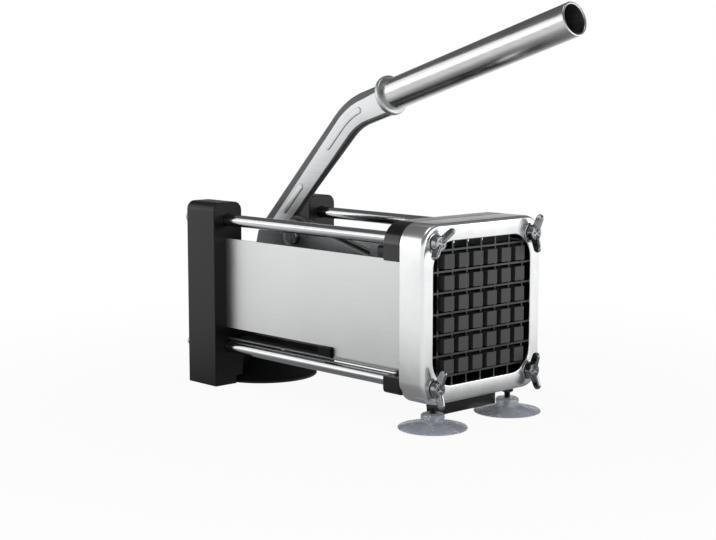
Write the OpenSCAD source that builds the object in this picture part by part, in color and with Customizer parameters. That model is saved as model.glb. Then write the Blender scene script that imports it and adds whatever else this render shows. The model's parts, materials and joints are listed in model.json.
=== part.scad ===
// French fry cutter.
// A lever drives a carriage along a trough and pushes the food through crossed blades.
// Millimetres. +X runs from the rear frame to the blade face, +Z is up, the table is Z = 0.
// The model stands with the pusher at the end of its stroke, its pegs between the blades.

/* [Blade face] */
// Height of the face ring's underside above the table
ring_z = 16; // [15:0.5:20]
// Distance from the origin forward to the front of the face ring
face_x = 89; // [80:1:100]
// Spacing of the blades
cell_pitch = 12.7; // [12:0.1:13]
// Number of cells across and up
cell_count = 6; // [4:1:6]
// Thickness of a blade
blade_t = 1.2; // [0.8:0.1:1.6]
// Depth of a blade along the stroke
blade_depth = 10; // [6:1:14]
// How far a blade's ends sit in the blade frame
blade_anchor = 2.2; // [1:0.1:2.6]
// Distance from the outer blades to the opening's sides
side_margin = 5.7; // [5:0.1:8]
// Distance from the outer blades to the opening's top and bottom
top_margin = 5.4; // [5:0.1:8]
// Width of the face beside the opening
rim_side = 9.4; // [9:0.2:12]
// Width of the face above and below the opening
rim_top = 11; // [10:0.2:13]
// Outer corner radius of the face ring
ring_r = 14; // [10:0.5:16]
// Depth of the face ring along X
ring_depth = 19.5; // [17:0.5:24]
// Sheet thickness of the face ring
ring_sheet = 2.1; // [1.5:0.1:2.5]
// Corner radius of the opening
opening_r = 16.5; // [16:0.5:20]
// Play between the blade frame and the ring round it
frame_play = 0.2; // [0.1:0.05:0.4]

/* [Rods and bars] */
// Diameter of a guide rod
rod_d = 8; // [6:0.5:8.5]
// Diameter of a rod's threaded front end
stud_d = 6; // [5:0.5:6]
// Length of the threaded end in front of the face ring
stud_out = 5.5; // [5.5:0.5:16]
// Distance from a rod's axis to the side of the face ring
rod_in_side = 10.2; // [9.6:0.1:11]
// Distance from a rod's axis to the top or bottom of the face ring
rod_in_top = 11; // [10:0.1:12]
// Depth of the black bars behind the face ring
bar_depth = 13.5; // [10:0.5:18]
// Height of the lower bar's underside above the ring's underside
bar_low = 4.8; // [1:0.2:4.8]
// Radius of the lower bar's bottom corners
bar_r = 3; // [1:0.5:5]
// Width of the pad below the lower bar
pad_w = 50; // [30:1:50]
// Height of the pad's underside above the table
pad_z = 6; // [5:0.5:12]
// How far the pad reaches forward under the face ring
pad_reach = 8; // [2:0.5:8]
// Depth over which the pad is joined to the lower bar
pad_root = 4; // [3:0.5:8]

/* [Trough] */
// Length of the trough between the rear frame and the face ring
trough_l = 175.5; // [172:0.5:190]
// Gap between the lower rods and the trough's underside
rod_gap = 0.5; // [0.3:0.1:1]
// Distance from the upper rods down to the top of the trough's walls
wall_drop = 8.5; // [6:0.5:12]
// Sheet thickness of the trough
trough_t = 1.2; // [1:0.1:1.3]
// Outer bend radius of the trough
trough_r = 4; // [3:0.5:5]
// Height of the slots in the walls
slot_h = 7.3; // [7:0.1:9]
// Height of the slot's lower edge above the trough's underside
slot_up = 1.7; // [1.5:0.1:1.9]
// Thickness of the slide strips on the trough floor
strip_t = 1.5; // [1:0.1:1.6]
// Width of a slide strip
strip_w = 13; // [8:0.5:16]

/* [Rear frame] */
// Height of the columns above the axis of the upper rods
column_over = 12; // [10:0.5:20]
// Width of a column
column_w = 24; // [20:0.5:26]
// Depth of a column along X
column_d = 30; // [30:0.5:36]
// Corner radius at the top of a column
column_r = 6; // [3:0.5:9]
// Height of the crosspiece's top
cross_top = 40; // [38:0.5:42]
// Height of the crosspiece's underside
cross_z = 19.2; // [18:0.2:21]
// Thickness of a pivot lug
lug_t = 8; // [5:0.5:10]
// Radius of a pivot lug's head
lug_r = 11; // [9:0.5:11]

/* [Feet] */
// Radius of the rear suction cup
rear_cup_r = 38; // [30:0.5:39]
// Height of the rear suction cup
rear_cup_h = 16; // [12:0.5:17]
// Diameter of the rear cup's stud
rear_stud_d = 8; // [6:0.5:10]
// Radius of a front suction cup
front_cup_r = 21.2; // [16:0.2:24]
// Height of a front suction cup
front_cup_h = 9; // [7:0.5:10]
// Distance from a front foot's axis to the side of the face ring
foot_in_side = 19.2; // [18.2:0.2:24]
// Distance of the front feet behind the face
foot_in = 9.5; // [8:0.5:11]
// Diameter of a front foot's bolt
foot_bolt_d = 4; // [3:0.5:5]

/* [Lever] */
// Distance of the pivot behind the front of the rear frame
pivot_in = 19; // [16:0.5:19]
// Height of the pivot above the table
pivot_z = 56; // [55:0.5:60]
// Diameter of the pivot bolt and the two pins
pin_d = 8; // [6:0.5:8.5]
// Distance from the pivot to the link's pin
crank_r = 64; // [60:0.5:65]
// Angle of the link's pin above level, at the end of the stroke
crank_deg = 46.5; // [45:0.5:50]
// Thickness of the lever's plate
arm_t = 5.5; // [4:0.5:6]
// Width of the lever's arm
arm_w = 21; // [16:0.5:22]
// Angle of the lever's arm above level
arm_deg = 45.4; // [44:0.1:50]
// Distance of the arm's centre line behind the pivot
arm_back = 21.6; // [19:0.1:23]
// Distance along the arm from the pivot to the bend
arm_reach = 162.4; // [140:0.1:190]
// Radius of the bend's centre line
bend_r = 50; // [40:1:70]
// Angle of the handle above level
handle_deg = 16.8; // [14:0.1:24]
// Distance from the bend's corner to the collar
collar_at = 34.6; // [28:0.1:40]
// Distance of the arm's middle below the handle's axis at the collar
arm_drop = 1.5; // [0:0.1:2]
// Diameter of the collar
collar_d = 26; // [24:0.5:32]
// Thickness of the collar
collar_t = 4; // [3:0.5:6]
// Outer diameter of the handle's tube
tube_d = 20.5; // [18:0.5:23]
// Wall of the handle's tube
tube_wall = 1.5; // [1.2:0.1:2.5]
// Length of the handle's tube
tube_l = 152.3; // [120:0.1:190]
// Width of the embossed ribs
rib_w = 4.6; // [3:0.2:6]
// Height of the embossed ribs
rib_h = 0.8; // [0.4:0.1:1.2]
// Share of the bend that the upper rib follows
rib_share = 0.8; // [0.4:0.05:1]

/* [Link] */
// Distance between the link's pins
link_l = 88.6; // [86:0.2:90]
// Slope of the link at rest, down to the front
link_deg = 14.1; // [13:0.1:16]
// Width of a link plate
link_w = 22; // [18:0.5:22]
// Thickness of a link plate
link_t = 3; // [2:0.5:4]

/* [Pusher] */
// Side of a square peg
peg_w = 8.6; // [7:0.1:9.4]
// How far the pegs stand out of the face at the end of the stroke
peg_out = 1.5; // [0.5:0.5:2]
// Length of the pegs
peg_l = 25.5; // [24:0.5:30]
// Thickness of the plate that carries the pegs
head_t = 6; // [5:0.5:8]
// Play between the pusher's plate and the trough's walls
head_play = 1.2; // [0.8:0.1:2]
// Thickness of the steel back plate
back_t = 2.5; // [2:0.5:4]
// Width of the steel back plate
back_w = 76; // [70:1:80]
// Height of the steel back plate
back_h = 66; // [60:1:68]
// Distance from the screws to the edges of the back plate
screw_in = 7.5; // [6:0.5:10]
// Length of the sliding shoe along X
shoe_l = 11.7; // [8:0.1:14]
// How far the shoe stands out of the trough's wall
shoe_out = 2.5; // [1:0.5:4]
// Half width of the carriage's centre block
block_half = 11; // [9:0.5:14]
// Height of the carriage's centre block
block_h = 12; // [10:0.5:16]

/* [Fits] */
// Radial clearance of a running fit
run_gap = 0.05; // [0.03:0.01:0.1]
// Gap between flat faces that move past each other
face_gap = 0.3; // [0.2:0.05:0.4]
// Radial clearance of a bolt in a plain hole
hole_gap = 0.3; // [0.2:0.05:0.5]

/* [Hidden] */
$fn = 64;
cut = 1;                                    // overshoot of a cut past the face it leaves

// Nuts, washers and screw heads: across flats or diameter, and height
nut_m8 = [13, 6.5];
nut_m4 = [7, 3.2];
washer_m8 = [16, 1.6];
washer_m6 = [12.5, 1];
jam_nut = [17, 3.2];
bolt_head = [13, 4];
screw_head = [7.2, 2.6];
screw_d = 4;
pin_head = [12.6, 2.5];

// Stations along X
ring_back = face_x - ring_depth;
bar_back = ring_back - bar_depth;
rear_front = ring_back - trough_l;
rear_back = rear_front - column_d;
cup_x = rear_front - column_d / 2;
foot_x = face_x - foot_in;

// Face ring and blade frame
blade_span = cell_count * cell_pitch;
opening_w = blade_span + 2 * side_margin;
opening_h = blade_span + 2 * top_margin;
ring_w = opening_w + 2 * rim_side;
ring_h = opening_h + 2 * rim_top;
axis_z = ring_z + ring_h / 2;
foot_dy = ring_w / 2 - foot_in_side;
pocket_w = ring_w - 2 * ring_sheet;
pocket_h = ring_h - 2 * ring_sheet;
pocket_r = ring_r - ring_sheet;
frame_depth = ring_depth - ring_sheet;
blade_front = face_x - ring_sheet;
blade_back = blade_front - blade_depth;
blade_slot = blade_t + 0.1;

// Rods
rod_dy = ring_w / 2 - rod_in_side;
rod_dz = ring_h / 2 - rod_in_top;
rod_spots = [for (y = [-1, 1], z = [-1, 1]) [y * rod_dy, axis_z + z * rod_dz]];
rod_bore = rod_d / 2 + run_gap;
stud_hole = stud_d / 2 + hole_gap;

// Wing nuts: a hub that tapers to the front and two wings that flare forward
wing_base = face_x + washer_m6[1] + face_gap;
hub_d = [10.4, 9];
hub_h = 4.2;
wing_t = 2.4;
wing_root = [3.8, 3.4];
wing_tip = [9.4, 5.6];
wing_root_r = 3;
wing_tip_r = 2.6;
wing_bore = stud_d / 2 + run_gap;

// Rear frame
rear_w = 2 * rod_dy + column_w;
rear_h = axis_z + rod_dz + column_over;

// Trough
trough_w = opening_w + 2 * trough_t;
trough_z = axis_z - rod_dz + rod_d / 2 + rod_gap;
trough_top = axis_z + rod_dz - rod_d / 2 - wall_drop;
floor_z = trough_z + trough_t;
trough_in = trough_w / 2 - trough_t;
strip_top = floor_z + strip_t;
slot_z = trough_z + slot_up;

// Lever and linkage, as points in the XZ plane at rest
pivot = [rear_front - pivot_in, pivot_z];
crank = pivot + crank_r * [cos(crank_deg), sin(crank_deg)];
slide_pin = crank + link_l * [cos(link_deg), -sin(link_deg)];
swing_deg = 180 - 2 * crank_deg;
stroke = 2 * crank_r * cos(crank_deg);
pin_rise = crank_r * (1 - sin(crank_deg));
quarter = swing_deg / 4;
pin_drift = stroke / 4 - crank_r * (cos(crank_deg) - cos(crank_deg + quarter));
plate_gap = face_gap + 0.05;                // between the arm or tongue and the link plates
link_in = arm_t / 2 + plate_gap;
link_out = link_in + link_t;
lug_in = arm_t / 2 + 0.45;
lug_out = lug_in + lug_t;
pin_r = pin_d / 2;
pin_bore = pin_r + run_gap;
pivot_boss = pin_r + 8;
crank_boss = link_w / 2 + 3;

// The arm: a straight run, a bend and a short run to the collar
arm_dir = [cos(arm_deg), sin(arm_deg)];
arm_left = [-sin(arm_deg), cos(arm_deg)];
handle_dir = [cos(handle_deg), sin(handle_deg)];
handle_left = [-sin(handle_deg), cos(handle_deg)];
bend_run = bend_r * tan((arm_deg - handle_deg) / 2);
bend_corner = pivot + arm_back * arm_left + arm_reach * arm_dir;
bend_centre = bend_corner - bend_run * arm_dir - bend_r * arm_left;
arm_start = pivot + arm_back * arm_left + (crank_r - 26) * arm_dir;
arm_end = bend_corner + collar_at * handle_dir;
collar_pos = arm_end + arm_drop * handle_left;
tube_pos = collar_pos + collar_t * handle_dir;
tube_bore = tube_d / 2 - tube_wall;

// Pusher
head_front = face_x + peg_out - peg_l;
head_back = head_front - head_t;
back_back = head_back - back_t;
head_high = axis_z + blade_span / 2 - 0.6;
head_half = trough_in - head_play;
shoe_front = slide_pin[0] - 2.8;
shoe_back = shoe_front - shoe_l;
slot_front = shoe_front + face_gap;
base_z = strip_top + 0.2;
shoe_top = slot_z + slot_h - face_gap;
tongue_z = base_z + 4;
head_low = base_z;
window_half = pin_r + pin_drift + 0.35;
window_low = slide_pin[1] - pin_r - face_gap;
window_high = slide_pin[1] + pin_rise + pin_r + face_gap;
tongue_top = window_high + 3;
tongue_back = slide_pin[0] - window_half - 7;
bolt_spots = [shoe_back + 22, back_back - 12];
screw_spots = [for (y = [-1, 1], z = [-1, 1])
    [y * (back_w / 2 - screw_in), axis_z + z * (back_h / 2 - screw_in)]];

// ---- Helpers ----

// Outline drawn as (Y, Z), carried along X from x
module along_x(x, length) {
    translate([x, 0, 0]) rotate([90, 0, 90]) linear_extrude(length) children();
}

// Outline drawn as (X, Z), carried along Y from y
module along_y(y, length) {
    translate([0, y + length, 0]) rotate([90, 0, 0]) linear_extrude(length) children();
}

// Rod, pin or bore along X
module bar_x(x, length, r, spot) {
    translate([x, spot[0], spot[1]]) rotate([0, 90, 0]) cylinder(h = length, r = r);
}

// Rod, pin or bore along Y, at a point of the XZ plane
module bar_y(y, length, r, spot) {
    translate([spot[0], y + length, spot[1]]) rotate([90, 0, 0]) cylinder(h = length, r = r);
}

// Hexagon nut standing on Z = 0 along +Z, with its thread's bore
module hex_nut(size, bore_r) {
    difference() {
        cylinder(h = size[1], r = size[0] / sqrt(3), $fn = 6);
        translate([0, 0, -cut]) cylinder(h = size[1] + 2 * cut, r = bore_r);
    }
}

// Rectangle with round corners, centred on the origin
module rounded(w, h, r) {
    square([w - 2 * r, h], center = true);
    square([w, h - 2 * r], center = true);
    for (x = [-1, 1], y = [-1, 1]) translate([x * (w / 2 - r), y * (h / 2 - r)]) circle(r);
}

// Slot with round ends between two points
module slot_2d(a, b, w) {
    run = b - a;
    translate(a) circle(d = w);
    translate(b) circle(d = w);
    translate(a) rotate(atan2(run[1], run[0])) translate([0, -w / 2]) square([norm(run), w]);
}

// Two circles of different size with straight sides that touch both
module web_2d(a, ra, b, rb) {
    run = b - a;
    turn = atan2(run[1], run[0]);
    lean = acos((ra - rb) / norm(run));
    translate(a) circle(ra);
    translate(b) circle(rb);
    polygon([
        a + ra * [cos(turn + lean), sin(turn + lean)],
        b + rb * [cos(turn + lean), sin(turn + lean)],
        b + rb * [cos(turn - lean), sin(turn - lean)],
        a + ra * [cos(turn - lean), sin(turn - lean)]
    ]);
}

// Puts a face outline on the blade axis
module on_axis() {
    translate([0, axis_z]) children();
}

// How far an opening with round corners reaches at a given offset from its middle
function reach(offset, across, up, r) =
    abs(offset) <= across / 2 - r
        ? up / 2
        : up / 2 - r + sqrt(r * r - pow(abs(offset) - (across / 2 - r), 2));

// Places what stands at the middle of each line of the grid
function grid_line(i) = (i - cell_count / 2) * cell_pitch;
function cell_middle(i) = grid_line(i) + cell_pitch / 2;

// ---- Rear frame and rear cup ----

module column_outline() {
    translate([0, rear_h / 2]) rounded(column_w, rear_h, column_r);
    translate([-column_w / 2, 0]) square([column_w, rear_h / 2]);
}

module lug_outline() {
    translate(pivot) circle(lug_r);
    translate([pivot[0] - lug_r, cross_top - cut]) square([2 * lug_r, pivot[1] - cross_top + cut]);
}

module rear_frame() {
    gap = rear_w - 2 * column_w;
    color("#1d1e20") difference() {
        union() {
            for (side = [-1, 1]) {
                along_x(rear_back, column_d) translate([side * rod_dy, 0]) column_outline();
                along_y(side > 0 ? lug_in : -lug_out, lug_t) lug_outline();
            }
            translate([rear_back, -gap / 2 - cut, cross_z])
                cube([column_d, gap + 2 * cut, cross_top - cross_z]);
        }
        for (spot = rod_spots) bar_x(rear_back - cut, column_d + 2 * cut, rod_bore, spot);
        bar_y(-lug_out - cut, 2 * (lug_out + cut), pin_bore, pivot);
        translate([cup_x, 0, -cut]) cylinder(h = cut + rear_cup_h / 3, r = rear_cup_r + 1.5);
        translate([cup_x, 0, cross_z - cut]) cylinder(h = 15 + cut, r = rear_stud_d / 2 + run_gap);
    }
}

module pivot_bolt() {
    color("#b9bcc0") {
        bar_y(-lug_out, 2 * lug_out + nut_m8[1] + 2, pin_r, pivot);
        translate([pivot[0], -lug_out, pivot[1]]) rotate([90, 0, 0])
            cylinder(h = bolt_head[1], r = bolt_head[0] / sqrt(3), $fn = 6);
    }
}

module pivot_nut() {
    color("#b9bcc0") translate([pivot[0], lug_out, pivot[1]]) rotate([-90, 0, 0])
        hex_nut([nut_m8[0] * pin_d / 8, nut_m8[1]], pin_bore);
}

module rear_cup() {
    r = rear_cup_r;
    h = rear_cup_h;
    stud = rear_stud_d / 2 + run_gap;
    color("#141415") translate([cup_x, 0, 0]) rotate_extrude()
        polygon([[r, 0], [r, 1.6], [r - 4, 3.2], [r * 0.62, h * 0.55], [r * 0.42, h * 0.92], [r * 0.36, h],
                 [stud, h], [stud, h * 0.5], [0, h * 0.5], [0, h * 0.36], [r * 0.5, h * 0.28],
                 [r - 6, 1.6], [r - 2, 0]]);
}

module rear_cup_stud() {
    low = rear_cup_h * 0.5 + 0.2;
    color("#b9bcc0") translate([cup_x, 0, low]) cylinder(h = cross_z + 14 - low, d = rear_stud_d);
}

module rear_cup_nut() {
    color("#b9bcc0") translate([cup_x, 0, rear_cup_h])
        hex_nut([jam_nut[0], cross_z - rear_cup_h], rear_stud_d / 2 + run_gap);
}

// ---- Rods ----

module rod(side_y, side_z) {
    spot = [side_y * rod_dy, axis_z + side_z * rod_dz];
    tail = washer_m8[1] + nut_m8[1] + 2;
    color("#d9dbde") {
        bar_x(rear_back - tail, ring_back - rear_back + tail, rod_d / 2, spot);
        bar_x(ring_back - cut, ring_depth + stud_out + cut, stud_d / 2, spot);
    }
}

module rod_upper_near() { rod(-1, 1); }
module rod_upper_far() { rod(1, 1); }
module rod_lower_near() { rod(-1, -1); }
module rod_lower_far() { rod(1, -1); }

module rod_nuts() {
    color("#b9bcc0") for (spot = rod_spots)
        translate([rear_back - washer_m8[1], spot[0], spot[1]]) rotate([0, -90, 0])
            hex_nut([nut_m8[0] * rod_d / 8, nut_m8[1]], rod_bore);
}

module rod_washers() {
    color("#b9bcc0") for (spot = rod_spots) difference() {
        bar_x(rear_back - washer_m8[1], washer_m8[1], washer_m8[0] / 2, spot);
        bar_x(rear_back - washer_m8[1] - cut, washer_m8[1] + 2 * cut, rod_bore, spot);
    }
}

// ---- Trough ----

// Upright outline with two round corners at the bottom
module cradle_outline(half, low, high, r) {
    translate([-half, low + r]) square([2 * half, high - low - r]);
    translate([-half + r, low]) square([2 * (half - r), r + cut / 2]);
    for (side = [-1, 1]) translate([side * (half - r), low + r]) circle(r);
}

module trough() {
    color("#c9cacb") difference() {
        along_x(rear_front, trough_l) difference() {
            cradle_outline(trough_w / 2, trough_z, trough_top, trough_r);
            cradle_outline(trough_in, floor_z, trough_top + cut, trough_r - trough_t);
        }
        for (side = [-1, 1])
            translate([rear_front - cut, side * trough_w / 2 - 2 * trough_t, slot_z])
                cube([slot_front - rear_front + cut, 4 * trough_t, slot_h]);
    }
}

module slide_strips() {
    color("#1b1b1c") for (side = [-1, 1])
        translate([rear_front, side > 0 ? trough_in - trough_r - strip_w : trough_r - trough_in, floor_z])
            cube([slot_front - rear_front, strip_w, strip_t]);
}

// ---- Bars behind the face ring ----

module front_upper_bar() {
    low = trough_top + 0.2;
    color("#1d1e20") difference() {
        along_x(bar_back, bar_depth) on_axis() difference() {
            rounded(ring_w, ring_h, ring_r);
            rounded(opening_w, opening_h, opening_r);
        }
        translate([bar_back - cut, -ring_w, low - ring_h]) cube([bar_depth + 2 * cut, 2 * ring_w, ring_h]);
        for (spot = rod_spots) bar_x(bar_back - cut, bar_depth + 2 * cut, rod_bore, spot);
    }
}

module front_lower_bar() {
    color("#1d1e20") difference() {
        union() {
            along_x(bar_back, bar_depth) difference() {
                cradle_outline(ring_w / 2, ring_z + bar_low, trough_z, bar_r);
                on_axis() rounded(opening_w, opening_h, opening_r);
            }
            translate([ring_back - pad_root, -pad_w / 2, pad_z])
                cube([pad_root + pad_reach, pad_w, ring_z - 0.2 - pad_z]);
            translate([ring_back - pad_root, -pad_w / 2, ring_z - cut])
                cube([pad_root, pad_w, bar_low + 2 * cut]);
        }
        for (spot = rod_spots) bar_x(bar_back - cut, bar_depth + 2 * cut, rod_bore, spot);
    }
}

// ---- Blades ----

module upright_blade(i, thickness) {
    half = reach(grid_line(i), opening_w, opening_h, opening_r) + blade_anchor;
    translate([blade_back, grid_line(i) - thickness / 2, axis_z - half])
        cube([blade_depth, thickness, 2 * half]);
}

module level_blade(i, thickness) {
    half = reach(grid_line(i), opening_h, opening_w, opening_r) + blade_anchor;
    translate([blade_back, -half, axis_z + grid_line(i) - thickness / 2])
        cube([blade_depth, 2 * half, thickness]);
}

module upright_blades() {
    color("#8e9195") difference() {
        for (i = [0:cell_count]) upright_blade(i, blade_t);
        for (i = [0:cell_count])
            translate([blade_back + blade_depth / 2, -ring_w, axis_z + grid_line(i) - blade_slot / 2])
                cube([blade_depth, 2 * ring_w, blade_slot]);
    }
}

module level_blades() {
    color("#8e9195") difference() {
        for (i = [0:cell_count]) level_blade(i, blade_t);
        for (i = [0:cell_count])
            translate([blade_back - blade_depth / 2, grid_line(i) - blade_slot / 2, axis_z - ring_h])
                cube([blade_depth, blade_slot, 2 * ring_h]);
    }
}

module blade_frame() {
    color("#1d1e20") difference() {
        along_x(ring_back, frame_depth) on_axis() difference() {
            rounded(pocket_w - 2 * frame_play, pocket_h - 2 * frame_play, pocket_r - frame_play);
            rounded(opening_w, opening_h, opening_r);
        }
        for (i = [0:cell_count]) {
            upright_blade(i, blade_slot);
            level_blade(i, blade_slot);
        }
        for (spot = rod_spots) bar_x(ring_back - cut, frame_depth + 2 * cut, stud_hole + 0.2, spot);
        for (side = [-1, 1]) translate([foot_x, side * foot_dy, ring_z])
            cylinder(h = ring_sheet + frame_play + screw_head[1] + 0.6, r = screw_head[0] / 2 + 1);
    }
}

// ---- Face ring, wing nuts, front feet ----

module face_ring() {
    color("#d4d6d8") difference() {
        along_x(ring_back, ring_depth) on_axis() rounded(ring_w, ring_h, ring_r);
        along_x(ring_back - cut, frame_depth + cut) on_axis() rounded(pocket_w, pocket_h, pocket_r);
        along_x(ring_back - cut, ring_depth + 2 * cut) on_axis() rounded(opening_w, opening_h, opening_r);
        for (spot = rod_spots) bar_x(ring_back, ring_depth + cut, stud_hole, spot);
        for (side = [-1, 1]) translate([foot_x, side * foot_dy, ring_z - cut])
            cylinder(h = ring_sheet + 2 * cut, r = foot_bolt_d / 2 + hole_gap);
    }
}

module wing_nut_washers() {
    color("#b9bcc0") for (spot = rod_spots) difference() {
        bar_x(face_x, washer_m6[1], washer_m6[0] / 2, spot);
        bar_x(face_x - cut, washer_m6[1] + 2 * cut, stud_hole, spot);
    }
}

// Wing nut on a rod's end, with its wings turned from upright by a number of degrees
module wing_nut(side_y, side_z, turn) {
    color("#9fa2a5") translate([wing_base, side_y * rod_dy, axis_z + side_z * rod_dz])
        rotate([turn, 0, 0]) rotate([0, 90, 0]) difference() {
            union() {
                cylinder(h = hub_h, d1 = hub_d[0], d2 = hub_d[1]);
                for (side = [-1, 1]) translate([0, wing_t / 2, 0]) rotate([90, 0, 0])
                    linear_extrude(wing_t) hull() {
                        translate([side * wing_root[0], wing_root[1]]) circle(wing_root_r);
                        translate([side * wing_tip[0], wing_tip[1]]) circle(wing_tip_r);
                    }
            }
            translate([0, 0, -cut]) cylinder(h = hub_h + 2 * cut, r = wing_bore);
            translate([0, 0, hub_h]) cylinder(h = hub_h + cut, r = wing_bore + 1);
        }
}

module wing_nut_upper_near() { wing_nut(-1, 1, -45); }
module wing_nut_upper_far() { wing_nut(1, 1, -6); }
module wing_nut_lower_near() { wing_nut(-1, -1, -5); }
module wing_nut_lower_far() { wing_nut(1, -1, 4); }

module front_foot_bolts() {
    low = front_cup_h * 0.45;
    color("#8f9295") for (side = [-1, 1]) translate([foot_x, side * foot_dy, 0]) {
        translate([0, 0, low]) cylinder(h = ring_z + ring_sheet - low + cut / 2, d = foot_bolt_d);
        translate([0, 0, ring_z + ring_sheet]) cylinder(h = screw_head[1], d = screw_head[0]);
    }
}

module front_foot_nuts() {
    color("#b9bcc0") for (side = [-1, 1]) translate([foot_x, side * foot_dy, ring_z - nut_m4[1]])
        hex_nut([nut_m4[0] * foot_bolt_d / 4, nut_m4[1]], foot_bolt_d / 2 + run_gap);
}

module front_cup(side) {
    r = front_cup_r;
    h = front_cup_h;
    bolt = foot_bolt_d / 2 + run_gap;
    color([0.75, 0.8, 0.84, 0.6]) translate([foot_x, side * foot_dy, 0]) rotate_extrude()
        polygon([[r, 0], [r, 0.9], [r * 0.7, 2.4], [r * 0.34, h * 0.5], [r * 0.3, h * 0.58], [r * 0.34, h * 0.66],
                 [r * 0.34, h * 0.92], [r * 0.3, h], [bolt, h], [bolt, h * 0.42], [0, h * 0.42], [0, h * 0.28],
                 [r * 0.5, h * 0.2], [r - 1.6, 0]]);
}

module front_cup_near() { front_cup(-1); }
module front_cup_far() { front_cup(1); }

// ---- Lever ----

// Points round a share of the bend, moved sideways by off
function bend_points(off, share = 1) = [
    for (i = [0:12])
        let (a = arm_deg + (handle_deg - arm_deg) * share * i / 12)
        bend_centre + (bend_r + off) * [-sin(a), cos(a)]
];

// Points along one side of the arm, moved sideways by off
function arm_side(off) = concat(
    [arm_start + off * arm_left],
    bend_points(off),
    [arm_end + off * handle_left]
);

function reversed(list) = [for (i = [len(list) - 1:-1:0]) list[i]];

module arm_outline() {
    polygon(concat(arm_side(arm_w / 2), reversed(arm_side(-arm_w / 2))));
    web_2d(pivot, pivot_boss, crank, crank_boss);
    web_2d(crank, crank_boss, arm_start, arm_w / 2);
    web_2d(arm_start, arm_w / 2, pivot, pivot_boss);
    polygon([pivot, crank, arm_start]);
}

// Embossed ribs on both faces: a short straight one and one that follows the bend
module arm_ribs() {
    short_a = arm_start + 29 * arm_dir;
    slot_2d(short_a, short_a + 24 * arm_dir, rib_w);
    bend_start = bend_centre + bend_r * arm_left;
    long_a = bend_start - 19 * arm_dir;
    translate(long_a) circle(d = rib_w);
    translate(bend_points(0, rib_share)[12]) circle(d = rib_w);
    polygon(concat(
        [long_a + rib_w / 2 * arm_left],
        bend_points(rib_w / 2, rib_share),
        reversed(bend_points(-rib_w / 2, rib_share)),
        [long_a - rib_w / 2 * arm_left]
    ));
}

module lever_arm() {
    color("#bfc1c3") difference() {
        union() {
            along_y(-arm_t / 2, arm_t) arm_outline();
            along_y(-arm_t / 2 - rib_h, arm_t + 2 * rib_h) arm_ribs();
        }
        bar_y(-arm_t, 2 * arm_t, pin_bore, pivot);
        bar_y(-arm_t, 2 * arm_t, pin_bore, crank);
    }
}

// Puts what stands on Z = 0 at a point of the handle's axis, along the handle
module along_handle(spot) {
    translate([spot[0], 0, spot[1]]) rotate([0, 90 - handle_deg, 0]) children();
}

module handle_collar() {
    color("#c9cbcd") along_handle(collar_pos) cylinder(h = collar_t, d = collar_d);
}

module handle_tube() {
    color("#c4c6c8") along_handle(tube_pos) difference() {
        cylinder(h = tube_l, d = tube_d);
        translate([0, 0, -cut]) cylinder(h = tube_l + 2 * cut, r = tube_bore);
    }
}

// Plain pin along Y with a round head at each end, the heads starting at a distance from the middle
module headed_pin(spot, head_at) {
    bar_y(-head_at, 2 * head_at, pin_r, spot);
    for (y = [-head_at - pin_head[1], head_at]) bar_y(y, pin_head[1], pin_head[0] / 2, spot);
}

module link_pin() {
    color("#d2d4d6") headed_pin(crank, link_out + face_gap);
}

// ---- Link ----

module link_plate(side) {
    color("#a9acaf") difference() {
        along_y(side > 0 ? link_in : -link_out, link_t) slot_2d(crank, slide_pin, link_w);
        bar_y(-link_out - cut, 2 * (link_out + cut), pin_bore, crank);
        bar_y(-link_out - cut, 2 * (link_out + cut), pin_bore, slide_pin);
    }
}

module link_plate_near() { link_plate(-1); }
module link_plate_far() { link_plate(1); }

module slide_pin_bolt() {
    color("#d2d4d6") headed_pin(slide_pin, link_out);
}

// ---- Pusher ----

module pusher_head() {
    middle = (head_low + head_high) / 2;
    color("#232427") difference() {
        union() {
            along_x(head_back, head_t) {
                translate([0, middle]) rounded(2 * head_half, head_high - head_low, 12);
                translate([0, head_low + 20]) rounded(2 * head_half, 40, 4);
            }
            for (i = [0:cell_count - 1], j = [0:cell_count - 1])
                translate([head_front - cut, cell_middle(i) - peg_w / 2, axis_z + cell_middle(j) - peg_w / 2])
                    cube([peg_l + cut, peg_w, peg_w]);
        }
        for (spot = screw_spots) bar_x(head_back - cut, head_t - 1.5 + cut, screw_d / 2 + run_gap, spot);
    }
}

module pusher_back_plate() {
    color("#a5a8ab") difference() {
        along_x(back_back, back_t) on_axis() rounded(back_w, back_h, screw_in);
        for (spot = screw_spots) bar_x(back_back - cut, back_t + 2 * cut, screw_d / 2 + 0.1, spot);
    }
}

module pusher_screws() {
    color("#c9cbcd") for (spot = screw_spots) {
        bar_x(back_back - screw_head[1], screw_head[1], screw_head[0] / 2, spot);
        bar_x(back_back - cut, back_t + head_t - 2 + cut, screw_d / 2, spot);
    }
}

module carriage_base() {
    block_top = base_z + block_h;
    shoe_half = trough_w / 2 + shoe_out;
    color("#1b1b1c") difference() {
        union() {
            translate([shoe_back, -block_half, base_z]) cube([back_back - shoe_back, 2 * block_half, block_h]);
            translate([shoe_back, -shoe_half, base_z]) cube([shoe_l, 2 * shoe_half, shoe_top - base_z]);
        }
        translate([shoe_back - cut, -arm_t / 2 - 0.05, tongue_z])
            cube([back_back - shoe_back + 2 * cut, arm_t + 0.1, block_h]);
        for (x = bolt_spots)
            bar_y(-block_half - cut, 2 * (block_half + cut), 2.5 + run_gap, [x, block_top - 4]);
    }
}

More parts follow.
